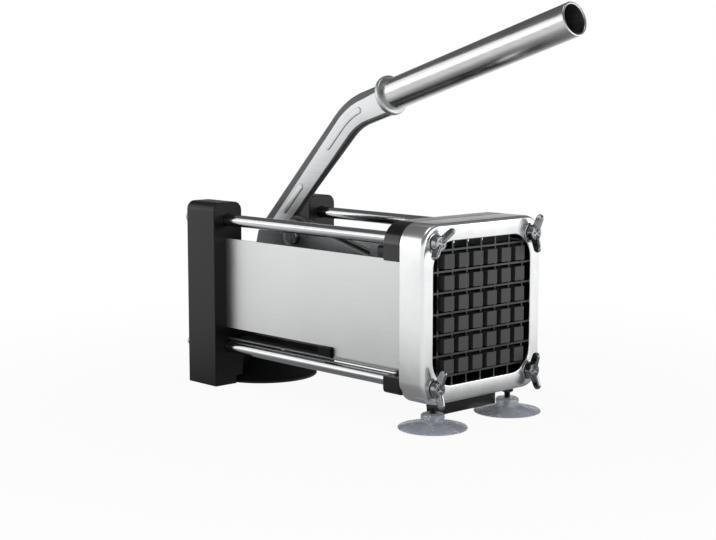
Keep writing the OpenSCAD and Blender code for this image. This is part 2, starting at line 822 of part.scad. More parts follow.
module carriage_tongue() {
    slope_x = slide_pin[0] + window_half + 7;
    color("#a9acaf") difference() {
        along_y(-arm_t / 2, arm_t) difference() {
            polygon([[back_back, tongue_z], [back_back, axis_z + back_h / 2 - screw_in], [slope_x, tongue_top],
                     [tongue_back, tongue_top], [tongue_back, tongue_z]]);
            translate([slide_pin[0], (window_low + window_high) / 2])
                rounded(2 * window_half, window_high - window_low, 3);
        }
        for (x = bolt_spots) bar_y(-arm_t, 2 * arm_t, 2.5 + run_gap, [x, base_z + block_h - 4]);
    }
}

module carriage_bolts() {
    color("#c9cbcd") for (x = bolt_spots) {
        spot = [x, base_z + block_h - 4];
        bar_y(-block_half - 3, 2 * block_half + 6, 2.5, spot);
        for (y = [-block_half - 3, block_half]) bar_y(y, 3, 4.4, spot);
    }
}

rear_frame();
pivot_bolt();
pivot_nut();
rear_cup();
rear_cup_stud();
rear_cup_nut();
rod_upper_near();
rod_upper_far();
rod_lower_near();
rod_lower_far();
rod_nuts();
rod_washers();
trough();
slide_strips();
front_upper_bar();
front_lower_bar();
blade_frame();
upright_blades();
level_blades();
face_ring();
wing_nut_washers();
wing_nut_upper_near();
wing_nut_upper_far();
wing_nut_lower_near();
wing_nut_lower_far();
front_foot_bolts();
front_foot_nuts();
front_cup_near();
front_cup_far();
lever_arm();
handle_collar();
handle_tube();
link_pin();
link_plate_near();
link_plate_far();
slide_pin_bolt();
pusher_head();
pusher_back_plate();
pusher_screws();
carriage_base();
carriage_tongue();
carriage_bolts();
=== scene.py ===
"""French fry cutter: the finishes and the modelled surfaces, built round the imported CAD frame."""
import json
import logging
import math
from dataclasses import dataclass, field
from enum import Enum
from typing import Sequence

import bmesh
import bpy
from mathutils import Matrix, Vector

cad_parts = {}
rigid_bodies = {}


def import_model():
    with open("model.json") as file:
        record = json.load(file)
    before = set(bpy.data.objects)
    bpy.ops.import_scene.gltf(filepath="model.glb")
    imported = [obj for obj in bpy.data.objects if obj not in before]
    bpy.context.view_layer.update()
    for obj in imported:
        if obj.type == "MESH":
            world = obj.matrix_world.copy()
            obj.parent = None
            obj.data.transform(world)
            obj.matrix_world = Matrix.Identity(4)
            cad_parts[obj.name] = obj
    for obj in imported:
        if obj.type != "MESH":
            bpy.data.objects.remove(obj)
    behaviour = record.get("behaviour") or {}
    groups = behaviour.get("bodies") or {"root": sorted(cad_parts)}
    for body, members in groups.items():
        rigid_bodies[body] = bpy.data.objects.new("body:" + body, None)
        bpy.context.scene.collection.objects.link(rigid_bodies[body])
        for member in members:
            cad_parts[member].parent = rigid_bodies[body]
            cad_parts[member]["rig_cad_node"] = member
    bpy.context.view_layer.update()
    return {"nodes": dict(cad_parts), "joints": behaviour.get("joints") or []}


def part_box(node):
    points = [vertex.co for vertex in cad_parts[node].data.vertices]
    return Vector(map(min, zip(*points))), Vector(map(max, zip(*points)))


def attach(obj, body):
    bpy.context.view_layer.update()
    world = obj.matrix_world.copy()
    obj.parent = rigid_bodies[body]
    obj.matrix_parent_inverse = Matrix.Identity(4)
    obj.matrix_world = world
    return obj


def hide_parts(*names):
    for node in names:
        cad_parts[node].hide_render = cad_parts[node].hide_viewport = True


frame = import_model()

LOG = logging.getLogger("fry_cutter")
MM = 0.001
X_WAY, Z_WAY = Vector((1, 0, 0)), Vector((0, 0, 1))
POLE_R = 1e-6                  # a smaller radius is a point on the axis
SLAB_WELD = 1e-4               # points of a plate that lie closer are one, in millimetres
CAD_WELD = 2e-6                # the same for a CAD mesh, in metres
FLAT_DEG = 0.6                 # faces of a CAD mesh at a smaller angle are one
SHARP_DEG = 38.0               # its edges with a larger angle are rounded
NOISE_RANGE = (0.3, 0.7)       # where nearly all of a fine noise's values lie
CLOUD_RANGE = (0.35, 0.65)     # and those of a broad one
NOISE_DETAIL = (3.0, 2.0)      # octaves of finer noise, in the fine one and the broad one
NOISE_ROUGHNESS = 0.6
DENT_STRENGTH = 0.6
WHITE = (1.0, 1.0, 1.0, 1.0)

Point = tuple[float, float]
Outline = list[Point]


# ---------------------------------------------------------------------------
# Shapes
# ---------------------------------------------------------------------------

class Shading(Enum):
    """Angle in degrees above which an edge between two faces stays hard."""

    CRISP = 28.0
    SOFT = 50.0


def box_mm(node: str) -> tuple[Vector, Vector]:
    """Gives a CAD node's lowest and highest corner in millimetres.

    Args:
        node: Name of the CAD node.

    Returns:
        The two corners.
    """
    low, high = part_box(node)
    return low / MM, high / MM


def middle_mm(node: str) -> Vector:
    """Gives the middle of a CAD node's box in millimetres."""
    low, high = box_mm(node)
    return (low + high) / 2


def place(origin: Vector, axis: Vector) -> Matrix:
    """Makes the matrix that stands a local Z axis along a direction.

    Args:
        origin: Where the local origin goes, in millimetres.
        axis: Direction of the local Z axis.

    Returns:
        The matrix from local millimetres to scene metres.
    """
    rotation = axis.normalized().to_track_quat("Z", "Y").to_matrix().to_4x4()
    return Matrix.Translation(origin * MM) @ rotation @ Matrix.Scale(MM, 4)


def side_plane(y: float = 0.0) -> Matrix:
    """Makes the matrix that lays a local XY outline in the machine's XZ plane, at a Y in millimetres."""
    rows = ((1, 0, 0, 0), (0, 0, -1, y), (0, 1, 0, 0), (0, 0, 0, 1))
    return Matrix.Scale(MM, 4) @ Matrix(rows)


def arc(centre: Point, radius: float, start: float, end: float, steps: int) -> Outline:
    """Gives the points of an arc, ends included.

    Args:
        centre: Middle of the arc.
        radius: Its radius.
        start: First angle in degrees.
        end: Last angle in degrees.
        steps: How many parts it is cut into.

    Returns:
        The points from start to end.
    """
    points = []
    for i in range(steps + 1):
        angle = math.radians(start + (end - start) * i / steps)
        points.append((centre[0] + radius * math.cos(angle), centre[1] + radius * math.sin(angle)))
    return points


def rounded_box(width: float, height: float, radius: float, middle: Point, corner_steps: int,
                side_steps: int) -> Outline:
    """Gives a rectangle with round corners, anticlockwise, with the same number of points for any size.

    Args:
        width: Outer width.
        height: Outer height.
        radius: Corner radius.
        middle: Where its middle lies.
        corner_steps: Parts in a corner's arc.
        side_steps: Parts in a straight side.

    Returns:
        The outline's points.
    """
    across = width / 2 - radius
    up = height / 2 - radius
    corners = [(across, -up, -90.0), (across, up, 0.0), (-across, up, 90.0), (-across, -up, 180.0)]
    points: Outline = []
    for i, (x, y, start) in enumerate(corners):
        turn = arc((middle[0] + x, middle[1] + y), radius, start, start + 90.0, corner_steps)
        points.extend(turn)
        nx, ny, nstart = corners[(i + 1) % 4]
        angle = math.radians(nstart)
        goal = (middle[0] + nx + radius * math.cos(angle), middle[1] + ny + radius * math.sin(angle))
        last = turn[-1]
        for k in range(1, side_steps):
            share = k / side_steps
            points.append((last[0] + (goal[0] - last[0]) * share, last[1] + (goal[1] - last[1]) * share))
    return points


def tangent_hull(circles: Sequence[tuple[Point, float]], steps: int) -> Outline:
    """Gives the taut outline round circles that are listed anticlockwise.

    Args:
        circles: Centre and radius of each circle.
        steps: Parts in each circle's arc.

    Returns:
        The outline's points.
    """
    points: Outline = []
    count = len(circles)

    def tangent(a: tuple[Point, float], b: tuple[Point, float]) -> float:
        """Gives the angle at which a tangent touches two circles.

        Args:
            a: The circle that it leaves.
            b: The circle that it reaches.

        Returns:
            The angle in degrees.
        """
        run = (b[0][0] - a[0][0], b[0][1] - a[0][1])
        turn = math.degrees(math.atan2(run[1], run[0]))
        return turn - math.degrees(math.acos((a[1] - b[1]) / math.hypot(*run)))

    for i, circle in enumerate(circles):
        start = tangent(circles[i - 1], circle)
        end = tangent(circle, circles[(i + 1) % count])
        while end < start:
            end += 360.0
        points.extend(arc(circle[0], circle[1], start, end, steps))
    return points


def finish_mesh(name: str, bm: bmesh.types.BMesh, matrix: Matrix | None = None,
                shading: Shading = Shading.CRISP) -> bpy.types.Object:
    """Turns a bmesh into a scene object with smooth shading up to an angle.

    Args:
        name: Name of the object.
        bm: The mesh, which is freed.
        matrix: From its own units to scene metres.
        shading: Angle above which an edge stays hard.

    Returns:
        The new object.
    """
    if matrix is not None:
        bm.transform(matrix)
    bmesh.ops.recalc_face_normals(bm, faces=bm.faces)
    mesh = bpy.data.meshes.new(name)
    bm.to_mesh(mesh)
    bm.free()
    mesh.shade_smooth()
    mesh.set_sharp_from_angle(angle=math.radians(shading.value))
    made = bpy.data.objects.new(name, mesh)
    bpy.context.scene.collection.objects.link(made)
    return made


def loft(bm: bmesh.types.BMesh, rings: Sequence[Sequence[Vector]], closed: bool = False) -> None:
    """Joins rings of equal length with faces.

    Args:
        bm: Mesh that takes the faces.
        rings: The rings' points; a ring of one point is a pole.
        closed: True where the last ring joins the first.
    """
    loops = [[bm.verts.new(point) for point in ring] for ring in rings]
    pairs = list(zip(loops, loops[1:]))
    if closed:
        pairs.append((loops[-1], loops[0]))
    for low, high in pairs:
        count = max(len(low), len(high))
        for i in range(count):
            j = (i + 1) % count
            if len(low) == 1:
                bm.faces.new((low[0], high[j], high[i]))
            elif len(high) == 1:
                bm.faces.new((low[i], low[j], high[0]))
            else:
                bm.faces.new((low[i], low[j], high[j], high[i]))


def circle(radius: float, level: float, steps: int) -> list[Vector]:
    """Gives the points of a level circle about the local Z axis."""
    angles = [2 * math.pi * i / steps for i in range(steps)]
    return [Vector((radius * math.cos(a), radius * math.sin(a), level)) for a in angles]


def lathe(name: str, profile: Sequence[Point], matrix: Matrix, closed: bool = False,
          steps: int = 72) -> bpy.types.Object:
    """Turns a profile of radius and height about the local Z axis.

    Args:
        name: Name of the object.
        profile: Radius and height of each point, in millimetres.
        matrix: Where it stands.
        closed: True where the profile is a closed loop, as on a tube.
        steps: Parts round the axis.

    Returns:
        The turned object.
    """
    bm = bmesh.new()
    loft(bm, [circle(radius, height, steps if radius > POLE_R else 1) for radius, height in profile], closed)
    return finish_mesh(name, bm, matrix)


def soft_profile(rows: Sequence[tuple[float, float, float]], closed: bool = False,
                 steps: int = 4) -> Outline:
    """Gives a profile with its corners rounded.

    Args:
        rows: The profile's corners, each with its rounding, or 0 to keep it sharp.
        closed: True for a closed profile.
        steps: Parts in each rounding.

    Returns:
        The profile's points.
    """
    made: Outline = []
    corners = [Vector(row[:2]) for row in rows]
    for i, (here, (x, y, radius)) in enumerate(zip(corners, rows)):
        if radius <= 0 or (not closed and i in (0, len(rows) - 1)):
            made.append((x, y))
            continue
        before = (corners[i - 1] - here).normalized()
        after = (corners[(i + 1) % len(rows)] - here).normalized()
        half = before.angle(after) / 2
        start = here + before * radius / math.tan(half)
        end = here + after * radius / math.tan(half)
        middle = here + (before + after).normalized() * radius / math.sin(half)
        first = start - middle
        sweep = first.angle_signed(end - middle)
        for k in range(steps + 1):
            spoke = first.copy()
            spoke.rotate(Matrix.Rotation(-sweep * k / steps, 2))
            made.append(tuple(middle + spoke))
    return made


def slab(name: str, outline: Outline, thickness: float, matrix: Matrix, rounding: float,
         segments: int = 3) -> bpy.types.Object:
    """Makes a plate with rounded rims from a flat outline.

    Args:
        name: Name of the object.
        outline: The outline, anticlockwise, in millimetres.
        thickness: Thickness of the plate, centred on the local XY plane.
        matrix: Where it lies.
        rounding: Radius of the rims.
        segments: Parts in a rim's rounding.

    Returns:
        The plate.
    """
    curve = bpy.data.curves.new(name, "CURVE")
    curve.dimensions = "2D"
    curve.fill_mode = "BOTH"
    curve.extrude = thickness / 2 - rounding
    curve.bevel_depth = rounding
    curve.bevel_resolution = segments
    curve.offset = -rounding
    spline = curve.splines.new("POLY")
    spline.points.add(len(outline) - 1)
    for spot, point in zip(spline.points, outline):
        spot.co = (*point, 0.0, 1.0)
    spline.use_cyclic_u = True
    carrier = bpy.data.objects.new(name, curve)
    bpy.context.scene.collection.objects.link(carrier)
    graph = bpy.context.evaluated_depsgraph_get()
    bm = bmesh.new()
    bm.from_mesh(bpy.data.meshes.new_from_object(carrier.evaluated_get(graph)))
    bpy.data.objects.remove(carrier)
    bmesh.ops.remove_doubles(bm, verts=bm.verts, dist=SLAB_WELD)
    return finish_mesh(name, bm, matrix, Shading.SOFT)


def soften(node: str, radius: float, segments: int) -> bpy.types.Object:
    """Copies a CAD node and rounds its sharp edges.

    Args:
        node: Name of the CAD node.
        radius: Radius of the rounding in millimetres.
        segments: Parts in the rounding.

    Returns:
        The rounded copy, which replaces the node.
    """
    bm = bmesh.new()
    bm.from_mesh(frame["nodes"][node].data)
    bmesh.ops.remove_doubles(bm, verts=bm.verts, dist=CAD_WELD)
    bmesh.ops.dissolve_limit(bm, angle_limit=math.radians(FLAT_DEG), verts=bm.verts, edges=bm.edges)
    limit = math.radians(SHARP_DEG)
    sharp = [e for e in bm.edges if len(e.link_faces) == 2 and e.calc_face_angle() > limit]
    bmesh.ops.bevel(bm, geom=sharp, offset=radius * MM, offset_type="OFFSET", segments=segments,
                    profile=0.5, affect="EDGES", clamp_overlap=True, miter_outer="ARC")
    made = finish_mesh(f"{node}_finished", bm)
    weighted = made.modifiers.new("weighted", "WEIGHTED_NORMAL")
    weighted.keep_sharp = True
    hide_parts(node)
    return made


def joined(name: str, parts: Sequence[bpy.types.Object]) -> bpy.types.Object:
    """Joins objects into one.

    Args:
        name: Name of the result.
        parts: The objects, which go into the first.

    Returns:
        The joined object.
    """
    bpy.context.view_layer.update()
    bm = bmesh.new()
    for part in parts:
        part.data.transform(part.matrix_world)
        bm.from_mesh(part.data)
        bpy.data.objects.remove(part)
    return finish_mesh(name, bm)


def hex_nut(name: str, across: float, height: float, bore: float, matrix: Matrix) -> bpy.types.Object:
    """Makes a hexagon nut with chamfered corners.

    Args:
        name: Name of the object.
        across: Width across the flats in millimetres.
        height: Its height.
        bore: Radius of its bore.
        matrix: Where it stands, on its local Z = 0.

    Returns:
        The nut.
    """
    steps, rings_each, lead = 72, 4, 0.6
    face = across / 2
    corner = across / math.sqrt(3)
    drop = (corner - face) * math.tan(math.radians(30))

    def ring(limit: float, level: float) -> list[Vector]:
        """Gives the hexagon cut off at a radius.

        Args:
            limit: That radius.
            level: Its height.

        Returns:
            Its points.
        """
        points = []
        for i in range(steps):
            angle = 2 * math.pi * i / steps
            reach = min(face / math.cos((angle % (math.pi / 3)) - math.pi / 6), limit)
            points.append(Vector((reach * math.cos(angle), reach * math.sin(angle), level)))
        return points

    land = face * 0.98
    stages = [(land, 0.0), (corner, drop), (corner, height - drop), (land, height)]
    rings = []
    for low, high in zip(stages, stages[1:]):
        for k in range(rings_each):
            share = k / rings_each
            rings.append(ring(low[0] + (high[0] - low[0]) * share, low[1] + (high[1] - low[1]) * share))
    rings.append(ring(*stages[-1]))
    for radius, level in ((bore + lead, height), (bore, height - lead), (bore, lead), (bore + lead, 0.0)):
        rings.append(circle(radius, level, steps))
    bm = bmesh.new()
    loft(bm, rings, closed=True)
    return finish_mesh(name, bm, matrix)


def threaded_rod(name: str, radius: float, pitch: float, length: float, matrix: Matrix) -> bpy.types.Object:
    """Makes a screw thread as a true helix on a solid core, with a chamfered end.

    Args:
        name: Name of the object.
        radius: Outer radius in millimetres.
        pitch: Distance from crest to crest.
        length: Length along the local Z axis.
        matrix: Where it stands.

    Returns:
        The threaded piece.
    """
    steps, parts, end_slope = 28, 6, 1.2
    depth = pitch / 2
    count = int(length / pitch * parts)
    rings = [[Vector((0.0, 0.0, 0.0))]]
    for k in range(count + 1):
        level = length * k / count
        limit = min(radius, radius - depth + (length - level) * end_slope)
        ring = []
        for i in range(steps):
            angle = 2 * math.pi * i / steps
            phase = (level / pitch - i / steps) % 1.0
            crest = radius - depth * abs(2 * phase - 1)
            reach = min(crest, limit)
            ring.append(Vector((reach * math.cos(angle), reach * math.sin(angle), level)))
        rings.append(ring)
    rings.append([Vector((0.0, 0.0, length))])
    bm = bmesh.new()
    loft(bm, rings)
    return finish_mesh(name, bm, matrix, Shading.SOFT)


# ---------------------------------------------------------------------------
# Finishes
# ---------------------------------------------------------------------------

def linear(hex_colour: str) -> tuple[float, float, float, float]:
    """Turns an sRGB hex colour into the linear colour that a shader takes.

    Args:
        hex_colour: Six hex digits, such as "C9CACB".

    Returns:
        Red, green, blue and alpha.
    """
    channels = []
    for i in (0, 2, 4):
        value = int(hex_colour[i:i + 2], 16) / 255
        channels.append(value / 12.92 if value <= 0.04045 else ((value + 0.055) / 1.055) ** 2.4)
    return (*channels, 1.0)


def add_node(tree: bpy.types.NodeTree, kind: str, settings: dict | None = None,
             inputs: dict | None = None) -> bpy.types.Node:
    """Adds a node with its settings, and fills or links its inputs.

    Args:
        tree: Tree that takes the node.
        kind: Blender's name of the node type.
        settings: Attributes of the node.
        inputs: Value or output socket for each input, by name or number.

    Returns:
        The new node.
    """
    node = tree.nodes.new(kind)
    for key, value in (settings or {}).items():
        setattr(node, key, value)
    for key, value in (inputs or {}).items():
        if isinstance(value, bpy.types.NodeSocket):
            tree.links.new(value, node.inputs[key])
        else:
            node.inputs[key].default_value = value
    return node


class Grain(Enum):
    """Direction in which a surface was brushed or drawn, as the scale of its pattern on each axis."""

    NONE = (1.0, 1.0, 1.0)
    ALONG_X = (0.02, 1.0, 1.0)
    ALONG_Y = (1.0, 0.02, 1.0)


@dataclass(frozen=True)
class Finish:
    """One surface finish, with its pattern worked out from real sizes.

    The main pattern is a noise whose features have the size pattern_mm across the grain, which lean turns
    about Y, in degrees. A broad noise of the size cloud_mm takes the share cloud. The two move the roughness
    between two values and the colour between two, and the main one dents the surface by relief_mm.
    """

    name: str
    slot: str
    colour: str
    tint: str
    metallic: float
    rough_low: float
    rough_high: float
    pattern_mm: float
    relief_mm: float
    grain: Grain = Grain.NONE
    lean: float = 0.0
    cloud_mm: float = 30.0
    cloud: float = 0.25
    transmission: float = 0.0
    specular: float = 0.5

    def pattern(self, tree: bpy.types.NodeTree, size_mm: float, grain: Grain,
                detail: float) -> bpy.types.Node:
        """Adds a noise in the piece's own coordinates whose features have a real size.

        Args:
            tree: The material's tree.
            size_mm: Size of a feature across the grain.
            grain: Direction in which features are stretched.
            detail: Octaves of finer noise.

        Returns:
            The noise node.
        """
        where = add_node(tree, "ShaderNodeTexCoord")
        mapping = add_node(tree, "ShaderNodeMapping", None, {
            "Vector": where.outputs["Object"],
            "Rotation": (0.0, math.radians(self.lean), 0.0),
            "Scale": grain.value,
        })
        return add_node(tree, "ShaderNodeTexNoise", None, {
            "Vector": mapping.outputs["Vector"],
            "Scale": 1.0 / (size_mm * MM),
            "Detail": detail,
            "Roughness": NOISE_ROUGHNESS,
        })

    def build(self) -> bpy.types.Material:
        """Makes the material.

        Returns:
            The finished material.
        """
        material = bpy.data.materials.new(self.name)
        material.use_nodes = True
        tree = material.node_tree
        tree.nodes.clear()
        low, high = NOISE_RANGE
        fine = self.pattern(tree, self.pattern_mm, self.grain, NOISE_DETAIL[0])
        broad = self.pattern(tree, self.cloud_mm, Grain.NONE, NOISE_DETAIL[1])
        spread = add_node(tree, "ShaderNodeMapRange", None, {
            "Value": broad.outputs["Fac"], "From Min": CLOUD_RANGE[0], "From Max": CLOUD_RANGE[1],
        })
        blend = add_node(tree, "ShaderNodeMix", {"data_type": "FLOAT"}, {
            0: self.cloud, 2: fine.outputs["Fac"], 3: spread.outputs["Result"],
        })
        colour = add_node(tree, "ShaderNodeValToRGB", None, {"Fac": blend.outputs[0]})
        ramp = colour.color_ramp.elements
        ramp[0].position, ramp[1].position = low, high
        ramp[0].color, ramp[1].color = linear(self.colour), linear(self.tint)
        rough = add_node(tree, "ShaderNodeMapRange", None, {
            "Value": blend.outputs[0], "From Min": low, "From Max": high,
            "To Min": self.rough_low, "To Max": self.rough_high,
        })
        dents = add_node(tree, "ShaderNodeBump", None, {
            "Height": fine.outputs["Fac"], "Distance": self.relief_mm * MM, "Strength": DENT_STRENGTH,
        })
        shader = add_node(tree, "ShaderNodeBsdfPrincipled", None, {
            "Base Color": colour.outputs["Color"],
            "Metallic": self.metallic,
            "Roughness": rough.outputs["Result"],
            "Normal": dents.outputs["Normal"],
            "Transmission Weight": self.transmission,
            "Specular IOR Level": self.specular,
        })
        add_node(tree, "ShaderNodeOutputMaterial", None, {"Surface": shader.outputs["BSDF"]})
        return material


@dataclass(frozen=True)
class Finishes:
    """All finishes of the cutter, named for what the real surfaces are.

    The scratches of a brush or a wheel are about 0.05 mm apart, too fine to show, so they are drawn 0.7 to
    1.8 mm apart. Orange peel, mould grain and pitting are drawn near their real size.
    """

    # 18/8 stainless sheet with a number 4 brush: a soft streak along the trough, never a mirror
    sheet: Finish = Finish("stainless_sheet_brushed", "stainless_sheet", "CECFCF", "D4D5D5", 1.0, 0.4, 0.44,
                           0.7, 0.001, Grain.ALONG_X, cloud_mm=60.0, cloud=0.3)
    # Aluminium, buffed: bright with a slight cloud from the buffing wheel
    casting: Finish = Finish("die_cast_aluminium_buffed", "polished_face", "E8E9EA", "EEEFEF", 1.0,
                             0.22, 0.27, 2.2, 0.0008, cloud=0.5)
    # Ground bar with hard chrome: a narrow mirror highlight with dark edges
    chrome: Finish = Finish("hard_chrome_bar", "chrome_rod", "B8BABC", "C4C6C8", 1.0, 0.12, 0.18,
                            0.8, 0.002, Grain.ALONG_X)
    # Bright zinc on screws and nuts: greyish, slightly mottled
    zinc: Finish = Finish("zinc_plated_steel", "plated_steel", "A9ACB0", "C3C6C9", 1.0, 0.24, 0.38, 1.4, 0.01)
    # Zinc alloy, die-cast and nickel plated: soft edges, a bit pitted from the mould
    nickel: Finish = Finish("nickel_plated_zinc", "wing_nut_casting", "808285", "A0A2A5", 1.0, 0.14, 0.26,
                            1.0, 0.02)
    # Foot bolts left black from the heat treatment and oiled: near black, with a dull sheen
    black_steel: Finish = Finish("oiled_black_steel", "plated_steel", "3C3D3F", "505153", 1.0,
                                 0.3, 0.42, 1.2, 0.01)
    # Ground martensitic strip: dull grey with grinding lines across it
    blade: Finish = Finish("ground_blade_strip", "blade_steel", "404244", "545658", 1.0, 0.3, 0.42,
                           0.7, 0.004, Grain.ALONG_Y)
    # Pressed mild steel with bright nickel, brushed along the arm: an even light web
    lever: Finish = Finish("pressed_steel_nickel_plated", "lever_steel", "BCBDBE", "C8C9CA", 1.0, 0.4, 0.48,
                           1.6, 0.004, Grain.ALONG_X, lean=-45.4)
    # The same steel on the rolled rims, with painted shade: darker and duller than the web, standing in for
    # the shade along the arm's edges
    rolled: Finish = Finish("rolled_rim_painted_shade", "lever_steel", "515254", "616264", 0.4, 0.34, 0.44, 1.8, 0.01,
                            Grain.ALONG_X, lean=-45.4, specular=0.25)
    # Hot rolled strip with a thin grey plating, on the link and the carriage: mid grey, a bit uneven
    strip: Finish = Finish("grey_plated_strip", "lever_steel", "8A8C8E", "9C9EA0", 1.0, 0.3, 0.42, 1.4, 0.008)
    # Drawn stainless tube, brushed along its length: long streaks of light and dark
    tube: Finish = Finish("drawn_stainless_tube", "tube_steel", "C0C0C0", "CECECE", 1.0, 0.17, 0.27,
                          0.7, 0.004, Grain.ALONG_X, lean=-16.8)
    # Polyester powder coat, satin black: orange peel of about a millimetre
    powder: Finish = Finish("powder_coat_satin_black", "black_casting", "0E0E0F", "151516", 0.0, 0.34, 0.46,
                            1.1, 0.03, specular=0.3)
    # Stoving enamel, gloss black, on the bars behind the face: smooth, so it mirrors light at a low angle
    enamel: Finish = Finish("stoving_enamel_black", "black_casting", "0E0E0F", "151516", 0.0,
                            0.16, 0.22, 1.6, 0.01)
    # Glass filled nylon, moulded black: finely grained, duller than the coat
    nylon: Finish = Finish("moulded_nylon_black", "black_nylon", "09090A", "0E0E0F", 0.0, 0.45, 0.58,
                           0.6, 0.02, specular=0.12)
    # The same nylon in dark grey, on the pegs: even, so the pegs stand out from the black
    grey_nylon: Finish = Finish("moulded_nylon_grey", "black_nylon", "3A3A3C", "464648", 0.0, 0.45, 0.6,
                                0.7, 0.02)
    # Natural rubber, moulded: matte black, slightly uneven
    rubber: Finish = Finish("rubber_black", "black_rubber", "121213", "1C1C1D", 0.0, 0.5, 0.68, 1.5, 0.04)
    # Clear plasticised PVC: bluish, slightly cloudy, with a soft gloss
    vinyl: Finish = Finish("clear_vinyl", "clear_rubber", "E3E9F5", "F6F8FC", 0.0, 0.12, 0.3, 3.0, 0.15,
                           transmission=0.62, cloud_mm=9.0, cloud=0.5)


@dataclass
class Paint:
    """Hands out each finish's material, made once."""

    made: dict[str, bpy.types.Material] = field(default_factory=dict)

    def coat(self, piece: bpy.types.Object, finish: Finish) -> None:
        """Gives a piece its finish.

        Args:
            piece: The piece.
            finish: Its finish.
        """
        if finish.name not in self.made:
            self.made[finish.name] = finish.build()
        piece.data.materials.clear()
        piece.data.materials.append(self.made[finish.name])


# ---------------------------------------------------------------------------
# Sub-assemblies
# ---------------------------------------------------------------------------

@dataclass
class Assembly:
    """What every sub-assembly shares: its paint, finishes and body. All sizes are in millimetres."""

    paint: Paint
    finishes: Finishes
    body: str = "frame"

    def hand_over(self, piece: bpy.types.Object, finish: Finish, *nodes: str) -> None:
        """Paints a piece, lets it ride on the body and replace CAD nodes.

        Args:
            piece: The piece.
            finish: Its finish.
            nodes: CAD nodes that it stands for.
        """
        self.paint.coat(piece, finish)
        if nodes:
            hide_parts(*nodes)
        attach(piece, self.body)
        LOG.info("%s rides on %s", piece.name, self.body)

    def soft_copies(self, rows: Sequence[tuple[str, float, int, Finish]]) -> None:
        """Rounds CAD nodes' edges and hands the copies over.

        Args:
            rows: For each node its name, the rounding's radius in millimetres and parts, and its finish.
        """
        for node, radius, segments, finish in rows:
            self.hand_over(soften(node, radius, segments), finish)

    def keep(self, node: str, finish: Finish) -> None:
        """Leaves a CAD node as it is and gives it a finish."""
        self.paint.coat(frame["nodes"][node], finish)
        LOG.info("%s keeps its CAD shape", node)


@dataclass
class FaceRing(Assembly):
    """The buffed face ring: a shallow tray with a large opening. Its outer size is the CAD node's."""

    corner: float = 14.0
    corner_steps: int = 14
    side_steps: int = 6
    sheet: float = 2.1
    opening: tuple[float, float, float] = (87.6, 87.0, 16.5)    # width, height and corner radius
    edge: float = 2.4
    edge_steps: int = 6
    lip: float = 0.8
    lip_steps: int = 4
    rear_break: tuple[float, float] = (0.3, 0.5)                # inward and along X

    def outline(self, width: float, height: float, radius: float, x: float, middle: float) -> list[Vector]:
        """Gives a rounded outline in the plane of the face.

        Args:
            width: Its width.
            height: Its height.
            radius: Its corner radius.
            x: Where it stands along X.
            middle: Height of its middle.

        Returns:
            The points in millimetres.
        """
        flat = rounded_box(width, height, radius, (0.0, middle), self.corner_steps, self.side_steps)
        return [Vector((x, y, z)) for y, z in flat]

    def build(self) -> None:
        """Makes the ring from nested outlines."""
        low, high = box_mm("face_ring")
        width, height = high.y - low.y, high.z - low.z
        middle = (high.z + low.z) / 2
        inset, run = self.rear_break
        rings = [self.outline(width - 2 * inset, height - 2 * inset, self.corner - inset, low.x, middle),
                 self.outline(width, height, self.corner, low.x + run, middle)]
        for k in range(self.edge_steps + 1):
            angle = math.pi / 2 * k / self.edge_steps
            inset = self.edge * (1 - math.cos(angle))
            x = high.x - self.edge + self.edge * math.sin(angle)
            rings.append(self.outline(width - 2 * inset, height - 2 * inset, self.corner - inset, x, middle))
        across, up, radius = self.opening
        for k in range(self.lip_steps + 1):
            angle = math.pi / 2 * k / self.lip_steps
            inset = self.lip * math.sin(angle)
            x = high.x - self.lip * (1 - math.cos(angle))
            grow = 2 * (self.lip - inset)
            rings.append(self.outline(across + grow, up + grow, radius + grow / 2, x, middle))
        rings.append(self.outline(across, up, radius, high.x - self.sheet, middle))
        inner_w, inner_h, inner_r = width - 2 * self.sheet, height - 2 * self.sheet, self.corner - self.sheet
        rings.append(self.outline(inner_w, inner_h, inner_r, high.x - self.sheet, middle))
        rings.append(self.outline(inner_w, inner_h, inner_r, low.x, middle))
        bm = bmesh.new()
        loft(bm, rings, closed=True)
        ring = finish_mesh("face_ring_buffed", bm, Matrix.Scale(MM, 4))
        self.hand_over(ring, self.finishes.casting, "face_ring")


@dataclass
class Grid(Assembly):
    """Blade frame, crossed blades and the bars that hold them."""

    def build(self) -> None:
        """Dresses the blades and what carries them."""
        for node in ("upright_blades", "level_blades"):
            self.keep(node, self.finishes.blade)
        self.soft_copies((
            ("blade_frame", 0.4, 2, self.finishes.nylon),
            ("front_upper_bar", 1.0, 3, self.finishes.enamel),
            ("front_lower_bar", 1.0, 3, self.finishes.enamel),
        ))


@dataclass
class Trough(Assembly):
    """The stainless trough and its slide strips."""

    def build(self) -> None:
        """Dresses the trough."""
        self.soft_copies((("trough", 0.25, 2, self.finishes.sheet),))
        self.keep("slide_strips", self.finishes.nylon)


